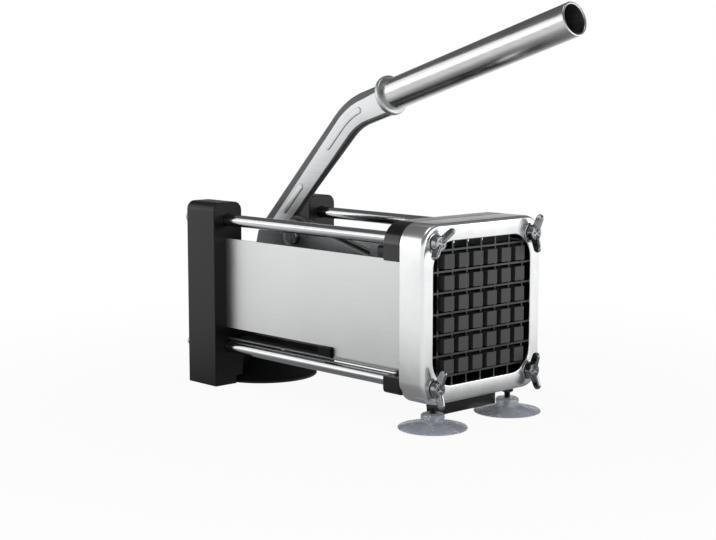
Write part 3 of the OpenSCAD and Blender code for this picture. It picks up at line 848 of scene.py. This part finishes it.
@dataclass
class RearFrame(Assembly):
    """The black rear casting with the pivot bolt and the big suction cup."""

    nut_bore: float = 4.05
    socket: float = 4.1

    def build(self) -> None:
        """Dresses the casting, turns the cup and its lock nut, and dresses the pivot's bolt and nut."""
        self.soft_copies((("rear_frame", 1.6, 4, self.finishes.powder),))
        self.build_cup()
        self.keep("rear_cup_stud", self.finishes.zinc)
        low, high = box_mm("rear_cup_nut")
        spot = Vector((middle_mm("rear_cup_nut").x, 0.0, low.z))
        nut = hex_nut("rear_cup_lock_nut", high.y - low.y, high.z - low.z, self.nut_bore, place(spot, Z_WAY))
        self.hand_over(nut, self.finishes.zinc, "rear_cup_nut")
        self.soft_copies((
            ("pivot_bolt", 0.4, 2, self.finishes.zinc),
            ("pivot_nut", 0.3, 2, self.finishes.zinc),
        ))

    def build_cup(self) -> None:
        """Turns the suction cup: hollow, lip, dome, neck and socket, each point with its rounding."""
        low, high = box_mm("rear_cup")
        r, h = (high.x - low.x) / 2, high.z - low.z
        profile = [
            (0.0, h * 0.36, 0), (r * 0.5, h * 0.28, 4), (r - 5.5, 1.5, 2),
            (r - 1.8, 0.1, 0.3), (r, 0.1, 0.6), (r, 1.7, 0.8),
            (r - 4, 3.3, 5), (r * 0.62, h * 0.55, 12), (r * 0.42, h * 0.92, 2), (r * 0.36, h, 0.8),
            (self.socket, h, 0), (self.socket, h * 0.5, 0), (0.0, h * 0.5, 0),
        ]
        spot = Vector((middle_mm("rear_cup").x, 0.0, 0.0))
        cup = lathe("rear_suction_cup", soft_profile(profile), place(spot, Z_WAY), steps=96)
        self.hand_over(cup, self.finishes.rubber, "rear_cup")


@dataclass
class Rods(Assembly):
    """Four guide rods with threaded front ends, and the nuts and washers on both ends."""

    names: tuple[str, ...] = ("rod_upper_near", "rod_upper_far", "rod_lower_near", "rod_lower_far")
    thread: tuple[float, float] = (3.0, 1.0)            # radius and pitch
    thread_root: float = 1.0                            # how far it reaches into the bar
    chamfer: float = 0.8
    shoulder_break: float = 0.3
    play: float = 0.05
    nut_across: float = 13.0
    rear_washer: float = 8.0
    front_washer: tuple[float, float] = (6.25, 3.3)     # radius and bore's radius

    def build(self) -> None:
        """Makes each rod and its hardware."""
        shoulder = box_mm("face_ring")[0].x
        nuts_low, nuts_high = box_mm("rod_nuts")
        rear_low, rear_high = box_mm("rod_washers")
        front_low, front_high = box_mm("wing_nut_washers")
        nuts, washers, fronts = [], [], []
        for name in self.names:
            low, high = box_mm(name)
            middle = middle_mm(name)
            radius = (high.z - low.z) / 2
            bore = radius + self.play

            def at(x: float, way: Vector = X_WAY) -> Matrix:
                """Gives the place on the rod's axis at an X."""
                return place(Vector((x, middle.y, middle.z)), way)

            parts = [self.bar(radius, shoulder - low.x, at(low.x)),
                     threaded_rod("thread", *self.thread, high.x - shoulder + self.thread_root,
                                  at(shoulder - self.thread_root))]
            self.hand_over(joined(f"{name}_turned", parts), self.finishes.chrome, name)
            nuts.append(hex_nut("nut", self.nut_across, nuts_high.x - nuts_low.x, bore,
                                at(nuts_high.x, -X_WAY)))
            washers.append(self.washer(self.rear_washer, bore, rear_high.x - rear_low.x,
                                       at(rear_high.x, -X_WAY)))
            fronts.append(self.washer(*self.front_washer, front_high.x - front_low.x, at(front_low.x)))
        self.hand_over(joined("rod_nuts_plated", nuts), self.finishes.zinc, "rod_nuts")
        self.hand_over(joined("rod_washers_plated", washers), self.finishes.zinc, "rod_washers")
        self.hand_over(joined("wing_nut_washers_plated", fronts), self.finishes.zinc, "wing_nut_washers")

    def bar(self, radius: float, length: float, matrix: Matrix) -> bpy.types.Object:
        """Turns a rod's plain part, with a chamfer behind and a broken shoulder in front.

        Args:
            radius: Its radius.
            length: Its length.
            matrix: Where it starts.

        Returns:
            The plain part.
        """
        cut, off = self.chamfer, self.shoulder_break
        profile = [(0, 0), (radius - cut, 0), (radius, cut), (radius, length - off), (radius - off, length),
                   (0, length)]
        return lathe("bar", profile, matrix, steps=48)

    def washer(self, outer: float, inner: float, height: float, matrix: Matrix) -> bpy.types.Object:
        """Turns a flat washer with broken edges.

        Args:
            outer: Outer radius.
            inner: Bore radius.
            height: Thickness.
            matrix: Where it stands.

        Returns:
            The washer.
        """
        rows = [(inner, 0, 0.15), (outer, 0, 0.3), (outer, height, 0.3), (inner, height, 0.15)]
        return lathe("washer", soft_profile(rows, closed=True, steps=2), matrix, closed=True, steps=40)


@dataclass
class WingNuts(Assembly):
    """Four cast wing nuts, each on its own body."""

    spots: tuple[str, ...] = ("upper_near", "upper_far", "lower_near", "lower_far")
    turns: tuple[float, ...] = (-45.0, -6.0, -5.0, 4.0)     # where each was left by hand
    hub: tuple[float, float, float] = (5.2, 4.5, 4.2)       # lower radius, upper radius and height
    root: tuple[float, float, float] = (3.8, 3.4, 3.0)      # a wing's root: out, up and radius
    tip: tuple[float, float, float] = (9.4, 5.6, 2.6)       # its tip
    wing: float = 2.4
    wing_round: float = 0.9
    voxel: float = 0.22

    def build(self) -> None:
        """Casts one nut and copies it to the four rods."""
        pattern = self.cast()
        stand = Matrix.Rotation(math.radians(90), 4, "Y") @ Matrix.Scale(MM, 4)
        for spot, turn in zip(self.spots, self.turns):
            node = f"wing_nut_{spot}"
            rod = middle_mm(f"rod_{spot}")
            seat = Matrix.Translation(Vector((box_mm(node)[0].x, rod.y, rod.z)) * MM)
            nut = bpy.data.objects.new(f"{node}_cast", pattern.data.copy())
            nut.data.transform(seat @ Matrix.Rotation(math.radians(turn), 4, "X") @ stand)
            bpy.context.scene.collection.objects.link(nut)
            self.body = f"{node}_body"
            self.hand_over(nut, self.finishes.nickel, node)
        bpy.data.objects.remove(pattern)

    def cast(self) -> bpy.types.Object:
        """Makes the nut's casting: hub and two wings melted together.

        Returns:
            The casting in millimetres, standing on its local Z = 0.
        """
        wide, narrow, height = self.hub
        hub = soft_profile([(0, 0, 0), (wide, 0, 0.5), (narrow, height, 0.8), (0, height, 0)])
        parts = [lathe("hub", hub, Matrix.Identity(4), steps=40)]
        upright = Matrix.Rotation(math.radians(90), 4, "X")
        for side in (-1, 1):
            circles = [((side * x, z), radius) for x, z, radius in (self.root, self.tip)]
            parts.append(slab("wing", tangent_hull(circles, 14), self.wing, upright, self.wing_round))
        nut = joined("wing_nut_pattern", parts)
        remesh = nut.modifiers.new("remesh", "REMESH")
        remesh.mode = "VOXEL"
        remesh.voxel_size = self.voxel
        smooth = nut.modifiers.new("smooth", "SMOOTH")
        smooth.factor = 0.5
        smooth.iterations = 6
        graph = bpy.context.evaluated_depsgraph_get()
        melted = bpy.data.meshes.new_from_object(nut.evaluated_get(graph))
        nut.modifiers.clear()
        nut.data = melted
        melted.shade_smooth()
        return nut


@dataclass
class FrontFeet(Assembly):
    """Two clear suction cups on threaded bolts with lock nuts."""

    cups: tuple[str, ...] = ("front_cup_near", "front_cup_far")
    ring_floor: float = 2.1
    thread: tuple[float, float] = (2.0, 0.7)    # radius and pitch
    nut: tuple[float, float] = (7.0, 2.05)      # width across the flats and bore's radius
    socket: float = 2.1
    head: tuple[tuple[float, float, float], ...] = (    # radius, height and rounding at each corner
        (0, 0, 0), (3.6, 0, 0.3), (3.6, 1.2, 0.5), (2.2, 2.6, 0.4), (0, 2.6, 0))

    def build(self) -> None:
        """Turns the cups, the bolts through the ring's floor and the nuts."""
        bolts_low = box_mm("front_foot_bolts")[0].z
        nuts_low, nuts_high = box_mm("front_foot_nuts")
        seat = box_mm("face_ring")[0].z + self.ring_floor
        head = soft_profile(self.head)
        across, bore = self.nut
        bolts, nuts = [], []
        for node in self.cups:
            low, high = box_mm(node)
            middle = middle_mm(node)
            middle.z = 0.0
            self.build_cup(node, (high.x - low.x) / 2, high.z - low.z, place(middle, Z_WAY))
            bolts.append(threaded_rod("thread", *self.thread, seat - bolts_low,
                                      place(middle + Z_WAY * bolts_low, Z_WAY)))
            bolts.append(lathe("head", head, place(middle + Z_WAY * seat, Z_WAY), steps=40))
            nuts.append(hex_nut("nut", across, nuts_high.z - nuts_low.z, bore,
                                place(middle + Z_WAY * nuts_low.z, Z_WAY)))
        black = self.finishes.black_steel
        self.hand_over(joined("front_foot_bolts_threaded", bolts), black, "front_foot_bolts")
        self.hand_over(joined("front_foot_nuts_black", nuts), black, "front_foot_nuts")

    def build_cup(self, node: str, r: float, h: float, matrix: Matrix) -> None:
        """Turns one clear cup: hollow, thin skirt, neck and rimmed hub, each point with its rounding.

        Args:
            node: CAD node that it replaces.
            r: Radius of the skirt.
            h: Height of the cup.
            matrix: Where it stands.
        """
        profile = [
            (0.0, h * 0.3, 0), (r * 0.5, h * 0.2, 3), (r - 1.6, 0.05, 1),
            (r, 0.05, 0.2), (r, 0.9, 0.3), (r * 0.7, 2.4, 6),
            (r * 0.36, h * 0.46, 1.5), (r * 0.3, h * 0.58, 0.6), (r * 0.345, h * 0.68, 0.4),
            (r * 0.345, h * 0.92, 0.4), (r * 0.3, h, 0.3),
            (self.socket, h, 0), (self.socket, h * 0.42, 0), (0.0, h * 0.42, 0),
        ]
        cup = lathe(f"{node}_clear", soft_profile(profile), matrix, steps=96)
        self.hand_over(cup, self.finishes.vinyl, node)


@dataclass
class Lever(Assembly):
    """The pressed lever arm, its collar and the open tube handle, laid out in the XZ plane."""

    body: str = "lever"
    crank_deg: float = 46.5
    crank: float = 64.0
    arm_deg: float = 45.4
    arm_back: float = 21.6
    arm_reach: float = 162.4
    arm_w: float = 21.0
    arm_low: float = 26.0           # how far before the crank's pin the arm starts
    bend_r: float = 50.0
    handle_deg: float = 16.8
    collar_at: float = 34.6
    arm_drop: float = 1.5           # how far the arm's end lies under the handle's axis
    pivot_boss: float = 12.0
    crank_boss: float = 14.0
    boss_share: float = 0.9         # how much of the crank's boss the arm's right side passes
    thickness: float = 5.5
    rolled: float = 1.6
    web_left: float = 5.8           # from the centre line to the web's left edge, at the bend
    web_right: float = 8.4
    web_taper: float = 1.6          # how much less that is at the foot, and more at the collar
    web_foot: float = 14.0          # from the arm's start
    web: tuple[float, float, float] = (1.0, 0.25, 0.25)     # thickness, how far proud, and rounding
    rib: tuple[float, float, float] = (4.6, 1.5, 0.7)       # width, height and rounding
    rib_proud: float = 0.8
    short_rib: tuple[float, float] = (29.0, 53.0)   # from the arm's start
    long_rib_back: float = 19.0                     # from the bend, down the arm
    long_rib_share: float = 0.8                     # how much of the bend it follows
    collar: tuple[float, float, float] = (13.0, 4.0, 1.4)       # radius, length and rounding
    tube: tuple[float, float, float] = (10.25, 8.75, 152.3)     # radius, bore's radius and length
    along: Vector = field(init=False)
    left: Vector = field(init=False)
    out: Vector = field(init=False)
    over: Vector = field(init=False)
    pivot: Vector = field(init=False)
    pin: Vector = field(init=False)
    start: Vector = field(init=False)
    bend: Vector = field(init=False)
    end: Vector = field(init=False)

    def __post_init__(self) -> None:
        """Works out the arm's and the handle's directions and the main points."""
        joint = next(j for j in frame["joints"] if j["name"] == "lever_pivot")
        self.along, self.left = self.way(self.arm_deg), self.way(self.arm_deg + 90)
        self.out, self.over = self.way(self.handle_deg), self.way(self.handle_deg + 90)
        self.pivot = Vector((joint["pos_m"][0], joint["pos_m"][2])) / MM
        self.pin = self.pivot + self.crank * self.way(self.crank_deg)
        corner = self.pivot + self.arm_back * self.left + self.arm_reach * self.along
        run = self.bend_r * math.tan(math.radians(self.arm_deg - self.handle_deg) / 2)
        self.bend = corner - run * self.along - self.bend_r * self.left
        self.start = self.pivot + self.arm_back * self.left + (self.crank - self.arm_low) * self.along
        self.end = corner + self.collar_at * self.out

    def build(self) -> None:
        """Makes the arm, collar and tube."""
        self.build_arm()
        self.build_handle()
        self.soft_copies((("link_pin", 0.5, 2, self.finishes.zinc),))

    def way(self, degrees: float) -> Vector:
        """Gives the unit vector at an angle above level."""
        return Vector((math.cos(math.radians(degrees)), math.sin(math.radians(degrees))))

    def bend_side(self, off: float) -> Outline:
        """Gives the bend's arc at a distance from its centre line, from the arm to the handle."""
        return arc(tuple(self.bend), self.bend_r + off, self.arm_deg + 90, self.handle_deg + 90, 16)

    def run_side(self, off: float) -> Outline:
        """Gives one side of the arm, at a distance from the centre line, from its start to the collar."""
        return [tuple(self.start + off * self.left), *self.bend_side(off), tuple(self.end + off * self.over)]

    def build_arm(self) -> None:
        """Makes the arm as one plate with rolled rims, and lays the webs and embossed ribs on it."""
        half, touch = self.arm_w / 2, 0.01
        bosses = [(tuple(self.pivot), self.pivot_boss), (tuple(self.pin), self.crank_boss)]
        lower = tangent_hull([*bosses, (tuple(self.start), half)], 18)
        start_left = self.start + half * self.left
        foot = [p for p in lower if (Vector(p) - self.start).dot(self.along) < -touch
                or (Vector(p) - start_left).length < touch / 10
                or (Vector(p) - self.pin).length < self.crank_boss + touch]
        foot.sort(key=self.turn_from_start)
        past_boss = self.crank_boss * self.boss_share
        right = [p for p in self.run_side(-half) if (Vector(p) - self.pin).dot(self.along) > past_boss]
        left = self.run_side(half)[:0:-1]
        # the plate's rims take the darker rolled finish, which is painted shade
        plate = slab("lever_arm_rim_painted_shade", foot + right + left, self.thickness, side_plane(), self.rolled, 6)
        self.hand_over(plate, self.finishes.rolled, "lever_arm")
        web = joined("lever_arm_web", [*self.webs(), *self.ribs()])
        self.hand_over(web, self.finishes.lever, "lever_arm")

    def turn_from_start(self, point: Point) -> float:
        """Gives how far round the foot's middle a point lies, anticlockwise from the arm's left side.

        Args:
            point: The point.

        Returns:
            The angle in radians.
        """
        spoke = Vector(point) - (self.pivot + self.pin + self.start) / 3
        first = self.left + self.along / 5
        return (math.atan2(spoke.y, spoke.x) - math.atan2(first.y, first.x)) % (2 * math.pi)

    def webs(self) -> list[bpy.types.Object]:
        """Makes the raised bright web on both faces, between the rolled rims, which are painted darker as
        painted shade.

        Returns:
            The two webs.
        """
        foot = self.start + self.web_foot * self.along
        wide = self.web_left + self.web_taper
        outline = [tuple(foot + (self.web_left - self.web_taper) * self.left),
                   tuple(foot - self.web_right * self.left),
                   *self.bend_side(-self.web_right),
                   tuple(self.end - self.web_right * self.over), tuple(self.end + wide * self.over),
                   *reversed(self.bend_side(self.web_left))]
        deep, proud, soft = self.web
        level = self.thickness / 2 + proud - deep / 2
        return [slab("web", outline, deep, side_plane(side * level), soft) for side in (-1, 1)]

    def ribs(self) -> list[bpy.types.Object]:
        """Makes the short straight rib and the long bent one on both faces.

        Returns:
            The four ribs.
        """
        width, height, soft = self.rib
        low, high = (self.start + reach * self.along for reach in self.short_rib)
        short_rib = tangent_hull([(tuple(low), width / 2), (tuple(high), width / 2)], 10)
        back = self.bend + self.bend_r * self.left - self.long_rib_back * self.along
        stop = self.arm_deg + (self.handle_deg - self.arm_deg) * self.long_rib_share
        far = self.bend + self.bend_r * self.way(stop + 90)
        long_rib = (arc(tuple(self.bend), self.bend_r + width / 2, self.arm_deg + 90, stop + 90, 12)
                    + arc(tuple(far), width / 2, stop + 90, stop - 90, 8)
                    + arc(tuple(self.bend), self.bend_r - width / 2, stop + 90, self.arm_deg + 90, 12)
                    + arc(tuple(back), width / 2, self.arm_deg - 90, self.arm_deg - 270, 8))[::-1]
        level = self.thickness / 2 + self.rib_proud - height / 2
        return [slab("rib", outline, height, side_plane(side * level), soft)
                for side in (-1, 1) for outline in (long_rib, short_rib)]

    def build_handle(self) -> None:
        """Turns the collar and the tube."""
        axis = Vector((self.out.x, 0, self.out.y))
        seat = self.end + self.arm_drop * self.over
        foot = Vector((seat.x, 0, seat.y))
        radius, length, soft = self.collar
        rows = [(0, 0, 0), (radius, 0, soft), (radius, length, soft), (0, length, 0)]
        collar = lathe("handle_collar_turned", soft_profile(rows), place(foot, axis), steps=64)
        self.hand_over(collar, self.finishes.lever, "handle_collar")
        outer, inner, reach = self.tube
        rows = [(outer, 0, 0.2), (outer, reach, 0.6), (inner, reach, 0.6), (inner, 0, 0.2)]
        tube = lathe("handle_tube_brushed", soft_profile(rows, closed=True),
                     place(foot + axis * length, axis), closed=True, steps=96)
        self.hand_over(tube, self.finishes.tube, "handle_tube")


@dataclass
class Link(Assembly):
    """The two link plates and their front pin."""

    body: str = "link"

    def build(self) -> None:
        """Dresses the plates and the pin."""
        self.soft_copies((
            ("link_plate_near", 0.5, 3, self.finishes.strip),
            ("link_plate_far", 0.5, 3, self.finishes.strip),
            ("slide_pin_bolt", 0.5, 2, self.finishes.zinc),
        ))


@dataclass
class Pusher(Assembly):
    """The pegged head and the carriage that pushes it."""

    body: str = "pusher"

    def build(self) -> None:
        """Dresses the pusher's pieces."""
        self.soft_copies((
            ("pusher_head", 0.45, 2, self.finishes.grey_nylon),
            ("pusher_back_plate", 0.3, 2, self.finishes.strip),
            ("pusher_screws", 0.5, 2, self.finishes.zinc),
            ("carriage_base", 0.6, 2, self.finishes.nylon),
            ("carriage_tongue", 0.4, 2, self.finishes.strip),
            ("carriage_bolts", 0.5, 2, self.finishes.zinc),
        ))


# ---------------------------------------------------------------------------
# Studio
# ---------------------------------------------------------------------------

@dataclass(frozen=True)
class Lamp:
    """A soft box that faces the object."""

    name: str
    azimuth: float
    elevation: float
    distance: float
    width: float
    height: float
    power: float


@dataclass(frozen=True)
class Fade:
    """A smooth change of brightness between two places."""

    near: float
    far: float
    first: float
    last: float

    def inputs(self, value: bpy.types.NodeSocket) -> dict:
        """Gives a Map Range node's inputs for this fade over a value."""
        return {"Value": value, "From Min": self.near, "From Max": self.far,
                "To Min": self.first, "To Max": self.last}


@dataclass
class Studio:
    """Camera, floor, soft boxes and the pale surroundings."""

    camera_mm: tuple[float, float, float] = (704.39, -683.56, 213.69)
    azimuth: float = 46.762
    pitch: float = 7.425
    lens: float = 76.441
    sensor: float = 36.0
    clip_m: tuple[float, float] = (0.01, 50.0)
    aim_mm: tuple[float, float, float] = (0.0, 0.0, 90.0)
    floor_m: float = 12.0
    floor_colour: str = "F0F0F0"
    lamps: tuple[Lamp, ...] = (
        Lamp("key_box", -50.0, 16.0, 1.8, 2.0, 1.0, 8.5),
        Lamp("side_box", 128.0, 9.0, 1.7, 1.6, 0.5, 7.0),
        Lamp("top_box", 20.0, 80.0, 1.6, 1.0, 1.0, 4.8),
    )
    floor_seen: Fade = Fade(0.12, 0.55, 0.94, 1.0)          # by metres from the middle
    # painted shade in reflections: glossy rays see the floor darker near the middle, standing in for the
    # shade round the object
    floor_shade_in_reflections: Fade = Fade(0.08, 0.42, 0.22, 1.0)
    sky: Fade = Fade(0.1, 0.32, 1.0, 0.2)                   # by height above the horizon
    dark_side: Fade = Fade(0.2, 0.85, 1.0, 0.7)             # by nearness to dark_way
    dark_way: tuple[float, float, float] = (-0.84, 0.5, 0.2)

    def build(self) -> None:
        """Sets up the whole studio."""
        bpy.context.scene.view_settings.view_transform = "Standard"
        self.build_camera()
        self.build_floor()
        for lamp in self.lamps:
            self.build_lamp(lamp)
        self.build_world()

    def build_camera(self) -> None:
        """Stands the camera at the viewing angle."""
        data = bpy.data.cameras.new("camera")
        data.lens = self.lens
        data.sensor_width = self.sensor
        data.sensor_fit = "HORIZONTAL"
        data.clip_start, data.clip_end = self.clip_m
        camera = bpy.data.objects.new("camera", data)
        camera.location = Vector(self.camera_mm) * MM
        camera.rotation_euler = (math.radians(90 - self.pitch), 0.0, math.radians(self.azimuth))
        bpy.context.scene.collection.objects.link(camera)
        bpy.context.scene.camera = camera

    def build_floor(self) -> None:
        """Lays the pale floor, plain to the camera; in reflections it is painted darker near the middle, as
        painted shade round the object.
        """
        bm = bmesh.new()
        bmesh.ops.create_grid(bm, x_segments=1, y_segments=1, size=self.floor_m / 2)
        floor = finish_mesh("floor", bm)
        material = bpy.data.materials.new("pale_floor")
        material.use_nodes = True
        tree = material.node_tree
        tree.nodes.clear()
        plain = add_node(tree, "ShaderNodeBsdfDiffuse", None, {"Color": linear(self.floor_colour)})
        rays = add_node(tree, "ShaderNodeLightPath")
        spot = add_node(tree, "ShaderNodeTexCoord")
        reach = add_node(tree, "ShaderNodeVectorMath", {"operation": "LENGTH"}, {0: spot.outputs["Object"]})
        smooth = {"interpolation_type": "SMOOTHSTEP"}
        seen = add_node(tree, "ShaderNodeMapRange", smooth, self.floor_seen.inputs(reach.outputs["Value"]))
        mirrored = add_node(tree, "ShaderNodeMapRange", smooth,
                            self.floor_shade_in_reflections.inputs(reach.outputs["Value"]))
        direct = self.higher(tree, rays.outputs["Is Camera Ray"], rays.outputs["Is Transmission Ray"])
        clear = add_node(tree, "ShaderNodeMath", {"operation": "MULTIPLY"}, {
            0: direct, 1: seen.outputs["Result"],
        })
        share = self.higher(tree, clear.outputs[0], rays.outputs["Is Glossy Ray"])
        # glossy rays see the white at the reflected strength, whose dip near the middle is painted shade
        level = add_node(tree, "ShaderNodeMix", {"data_type": "FLOAT"}, {
            0: rays.outputs["Is Glossy Ray"], 2: 1.0, 3: mirrored.outputs["Result"],
        })
        white = add_node(tree, "ShaderNodeEmission", None, {"Color": WHITE, "Strength": level.outputs[0]})
        mix = add_node(tree, "ShaderNodeMixShader", None, {
            0: share, 1: plain.outputs["BSDF"], 2: white.outputs["Emission"],
        })
        add_node(tree, "ShaderNodeOutputMaterial", None, {"Surface": mix.outputs["Shader"]})
        floor.data.materials.append(material)

    def higher(self, tree: bpy.types.NodeTree, first: bpy.types.NodeSocket,
               second: bpy.types.NodeSocket) -> bpy.types.NodeSocket:
        """Gives the higher of two sockets.

        Args:
            tree: Tree that takes the node.
            first: One socket.
            second: The other.

        Returns:
            The output with the higher value.
        """
        return add_node(tree, "ShaderNodeMath", {"operation": "MAXIMUM"}, {0: first, 1: second}).outputs[0]

    def build_lamp(self, lamp: Lamp) -> None:
        """Hangs a soft box.

        Args:
            lamp: Its place, size and power.
        """
        data = bpy.data.lights.new(lamp.name, "AREA")
        data.shape = "RECTANGLE"
        data.size, data.size_y = lamp.width, lamp.height
        data.energy = lamp.power
        around, above = math.radians(lamp.azimuth), math.radians(lamp.elevation)
        out = Vector((math.sin(around) * math.cos(above), -math.cos(around) * math.cos(above),
                      math.sin(above)))
        box = bpy.data.objects.new(lamp.name, data)
        box.location = Vector(self.aim_mm) * MM + out * lamp.distance
        box.rotation_euler = out.to_track_quat("Z", "Y").to_euler()
        bpy.context.scene.collection.objects.link(box)

    def build_world(self) -> None:
        """Surrounds the set with pale light that dims overhead and behind to the left."""
        world = bpy.data.worlds.new("studio")
        bpy.context.scene.world = world
        world.use_nodes = True
        tree = world.node_tree
        tree.nodes.clear()
        way = add_node(tree, "ShaderNodeTexCoord")
        split = add_node(tree, "ShaderNodeSeparateXYZ", None, {0: way.outputs["Generated"]})
        smooth = {"interpolation_type": "SMOOTHSTEP"}
        height = add_node(tree, "ShaderNodeMapRange", smooth, self.sky.inputs(split.outputs["Z"]))
        near_dark = add_node(tree, "ShaderNodeVectorMath", {"operation": "DOT_PRODUCT"}, {
            0: way.outputs["Generated"], 1: self.dark_way,
        })
        dim = add_node(tree, "ShaderNodeMapRange", smooth, self.dark_side.inputs(near_dark.outputs["Value"]))
        level = add_node(tree, "ShaderNodeMath", {"operation": "MULTIPLY"}, {
            0: height.outputs["Result"], 1: dim.outputs["Result"],
        })
        rays = add_node(tree, "ShaderNodeLightPath")
        shown = add_node(tree, "ShaderNodeMix", {"data_type": "FLOAT"}, {
            0: self.higher(tree, rays.outputs["Is Camera Ray"], rays.outputs["Is Transmission Ray"]),
            2: level.outputs[0], 3: 1.0,
        })
        back = add_node(tree, "ShaderNodeBackground", None, {"Color": WHITE, "Strength": shown.outputs[0]})
        add_node(tree, "ShaderNodeOutputWorld", None, {"Surface": back.outputs["Background"]})


def main() -> None:
    """Builds the cutter's looks sub-assembly by sub-assembly, then the studio."""
    logging.basicConfig(level=logging.INFO, format="%(name)s: %(message)s")
    paint, finishes = Paint(), Finishes()
    Studio().build()
    makers: list[type[Assembly]] = [FaceRing, Grid, Trough, RearFrame, Rods, WingNuts, FrontFeet,
                                    Lever, Link, Pusher]
    for maker in makers:
        maker(paint, finishes).build()


if __name__ == "__main__":
    main()
